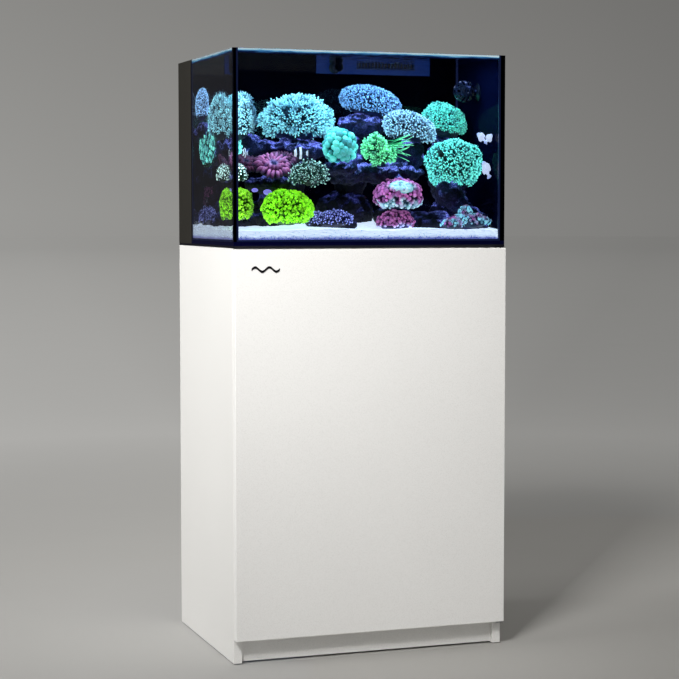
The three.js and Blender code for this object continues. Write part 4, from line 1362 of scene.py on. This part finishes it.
def growFlower(name, centre, reach, tilt, seed, paint, replaced=()):
    # rings of puffed folds round a small bright middle
    draw = random.Random(seed)
    half = (reach * 0.72, reach * 0.66, reach * 0.34)
    parts = [domeBody(Vector((0, 0, -reach * 0.12)), half, 0.06, seed, 1.0)]
    for count, start, length, rise, lift in flowers["rings"]:
        for step in range(count):
            long = reach * length * draw.uniform(0.85, 1.12)
            wide = reach * 2.0 * (start + length) / count * 0.98
            lobe = foldRidge(long, wide, reach * 0.17, seed * 50 + step)
            around = (step + draw.uniform(-0.2, 0.2)) * math.tau / count
            turn = Matrix.Rotation(around, 4, "Z") @ Matrix.Translation((reach * start, 0, reach * rise))
            lobe.data.transform(turn @ Matrix.Rotation(-lift * draw.uniform(0.6, 1.3), 4, "Y"))
            markAll(lobe, "own", draw.uniform(0.2, 1.0))
            parts.append(lobe)
    flower = joinAll(name, parts)
    markBy(flower, "zone", lambda place: min(1, max(0, 1.5 - place.xy.length / (reach * 0.17)))
           + max(0, noise.noise(place * 140) - 0.25) * 0.9)
    flower.data.transform(Matrix.Translation(centre) @ Matrix.Rotation(math.radians(tilt), 4, "X"))
    finishPiece(flower, "cabinet", coralPaints[paint], replaced)


def growFlowers():
    centre = boxForm("flower_coral")[0]
    growFlower("flower_wine", centre + Vector(flowers["offset"]), 0.043, 38, 51, "wine", ("flower_coral",))
    growFlower("flower_wine_back", centre + Vector(flowers["backOffset"]), 0.034, 30, 54, "wineDim")
    growFlower("flower_wine_left", Vector(flowers["leftPlace"]), 0.032, 35, 52, "wineDim")


chalice = {
    "count": 330,
    "eyeSize": (0.026, 0.018, 0.008),
    "eyeTilt": 40,
    "paleReach": (0.027, 0.032, 0.009),  # half sizes of the pale patch round the eye
}


def growChalice():
    centre, half = boxForm("chalice_coral")
    buds = [bubble(0.0052), bubble(0.0041), growFinger(0.0034, 0.009, 6, 1.3, 0.6)]
    piece = plantDome("chalice_pink", centre, half, buds, chalice["count"], 61, lump=0.14, cut=-0.8,
                      share=0.86, lean=0.2, size=(0.8, 1.3))
    middle = centre + Vector((0.0, -half.y * 0.55, half.z * 0.52))

    def zoneOf(place):
        near = Vector([away / reach for away, reach in zip(place - middle, chalice["paleReach"])]).length
        low = (centre.z - half.z * 0.30 - place.z) / (half.z * 0.5)
        patch = noise.noise(place * 62) * 1.3
        return max(min(1, max(0, 2.2 - near * 1.6)), min(1, max(0, (low + patch) * 1.5)))

    markBy(piece, "zone", zoneOf)
    eye = domeBody(Vector((0, 0, 0)), chalice["eyeSize"], 0.2, 66, 1.0)
    markBy(eye, "tip", lambda place: 0.78 + 0.5 * noise.noise(place * 170))
    markAll(eye, "own", 0.75)
    markAll(eye, "zone", 1.0)
    eye.data.transform(Matrix.Translation(centre + Vector((-0.002, -half.y * 0.68, half.z * 0.52)))
                       @ Matrix.Rotation(math.radians(chalice["eyeTilt"]), 4, "X"))
    piece = joinAll("chalice_pink", [piece, eye])
    finishPiece(piece, "cabinet", coralPaints["pink"], ("chalice_coral",))
    clearBuds(buds)


plantCorals()
growTorch()
growFlowers()
growChalice()
print("corals planted")


fishes = {
    # place, half length, heading, paint and how tall the body is
    "fish_banded": ((-0.141, -0.135, 1.056), 0.022, (-1, -0.1, 0.0), "banded", 1),
    "fish_banded_left": ((-0.262, -0.146, 1.055), 0.018, (-0.6, -0.8, 0), "banded", 1),
    "fish_white_high": ((0.262, -0.160, 1.094), 0.017, (-0.75, -0.2, 0.62), "white", 1),
    "fish_white_edge": ((0.281, -0.160, 1.092), 0.015, (0.62, 0.1, 0.75), "white", 1),
    "fish_white_low": ((0.272, -0.165, 1.027), 0.023, (-0.45, -0.2, 0.9), "white", 1),
    "fish_dark": ((0.163, -0.181, 1.056), 0.016, (-0.75, -0.1, 0.66), "dark", 0.6),
}


def fishPaint(name, stops, glow):
    paint = Paint(name, Roughness=0.35)
    scales = paint.cells(900.0)
    tone = paint.ramp(paint.mark("along"), *stops)
    colour = paint.times(tone, paint.ramp(scales, (0.1, (0.8, 0.8, 0.82)), (0.6, (1, 1, 1))))
    # painted light: the fish glow in their own colours
    paint.set(Base_Color=colour, Emission_Color=colour, Emission_Strength=glow)
    paint.bump(scales, 0.0003)
    return paint.mat


black = (0.006, 0.008, 0.02)
pale = (0.80, 0.88, 1.0)
bands = ((0.0, black), (0.10, pale), (0.17, black), (0.40, black), (0.43, pale), (0.54, pale),
         (0.57, black), (0.72, black), (0.75, pale), (0.86, pale), (0.89, black))
fishPaints = {
    "banded": fishPaint("fish_black_white", bands, 0.8),
    "white": fishPaint("fish_white", ((0.0, (0.35, 0.45, 0.85)), (0.25, (0.62, 0.72, 1.0)),
                                      (0.8, (0.66, 0.76, 1.0)), (1.0, (0.4, 0.5, 0.9))), 1.0),
    "dark": fishPaint("fish_dark_blue", ((0.0, (0.01, 0.03, 0.03)), (0.5, (0.02, 0.07, 0.06)),
                                         (1.0, (0.05, 0.16, 0.12))), 0.1),
}


def modelFish(name, place, half, heading, paint, tall):
    # a tapered body with a fanned tail, a back fin, a belly fin and two side fins
    clearPicks()
    bpy.ops.mesh.primitive_uv_sphere_add(segments=16, ring_count=12, radius=1, rotation=(0, math.pi / 2, 0))
    fish = bpy.context.object
    fish.scale = (0.40 * tall, 0.17, 0.74)
    settle(fish)
    for vertex in fish.data.vertices:
        back = max(0, -vertex.co.x / 0.74)
        vertex.co.z *= 1 - 0.55 * back ** 1.5
        vertex.co.y *= 1 - 0.5 * back
    editFaces(fish, lambda face: face.center.x < -0.66)
    pull((-0.10, 0, 0), (-0.80, 0, 0), (1, 0.5, 1.5))
    pull((-0.20, 0, 0), (-1.0, 0, 0), (0.9, 0.3, 2.3))
    closeEdit()
    editFaces(fish, lambda face: face.center.z > 0.30 * tall and abs(face.center.x) < 0.42)
    pull((-0.10, 0, 0.20), (-0.05, 0, 0.5), (1.1, 0.12, 1))
    closeEdit()
    editFaces(fish, lambda face: face.center.z < -0.30 * tall and -0.4 < face.center.x < 0.15)
    pull((-0.12, 0, -0.18), (-0.1, 0, -0.5), (0.9, 0.12, 1))
    closeEdit()
    for side in (-1, 1):
        editFaces(fish, lambda face: face.center.y * side > 0.12 and 0.1 < face.center.x < 0.35
                  and -0.16 < face.center.z < 0.02)
        pull((-0.16, side * 0.14, -0.05), (0.0, side * 0.25, -0.1), (1.3, 0.4, 1.2))
        closeEdit()
    smooth = fish.modifiers.new("smooth", "SUBSURF")
    smooth.levels = smooth.render_levels = 1
    applyModifiers(fish)
    markBy(fish, "along", lambda spot: min(1, max(0, (spot.x + 0.95) / 1.7)))
    heading = Vector(heading).normalized()
    across = Vector((0, 0, 1)).cross(heading).normalized()
    up = heading.cross(across)
    turn = Matrix((heading, across, up)).transposed().to_4x4()
    fish.data.transform(Matrix.Translation(place) @ turn @ Matrix.Scale(half, 4))
    fish.name = name
    finishPiece(fish, "cabinet", fishPaints[paint])


for name, spec in fishes.items():
    modelFish(name, *spec)


def growMushroom(name, place, size, toward):
    # a domed disc with a rolled rim on a short stalk
    clearPicks()
    bpy.ops.mesh.primitive_cylinder_add(vertices=20, radius=size * 0.3, depth=size * 0.9,
                                        location=(0, 0, -size * 0.6))
    disc = bpy.context.object
    settle(disc)
    editFaces(disc, lambda face: face.normal.z > 0.9)
    pull((0, 0, size * 0.05), (0, 0, -size * 0.1), (3.2, 3.2, 1))
    pull((0, 0, size * 0.16), (0, 0, 0), (1.08, 1.08, 1))
    pull((0, 0, size * 0.16), (0, 0, 0), (0.72, 0.72, 1))
    pull((0, 0, -size * 0.05), (0, 0, 0), (0.4, 0.4, 1))
    closeEdit()
    smooth = disc.modifiers.new("smooth", "SUBSURF")
    smooth.levels = smooth.render_levels = 2
    applyModifiers(disc)
    markBy(disc, "tip", lambda spot: 0.66 + 0.16 * spot.xy.length / size)
    markAll(disc, "own", 0.8)
    disc.data.transform(Matrix.Translation(place) @ facing(Vector(toward)) @ Matrix.Diagonal((1, 0.62, 1, 1)))
    disc.name = name
    finishPiece(disc, "cabinet", coralPaints["mushroom"])


growMushroom("mushroom_violet", (-0.209, -0.130, 0.975), 0.0095, (0, -1, 0.15))
growMushroom("mushroom_violet_left", (-0.236, -0.128, 0.979), 0.0070, (-0.1, -1, 0.2))
print("fish and mushrooms in")
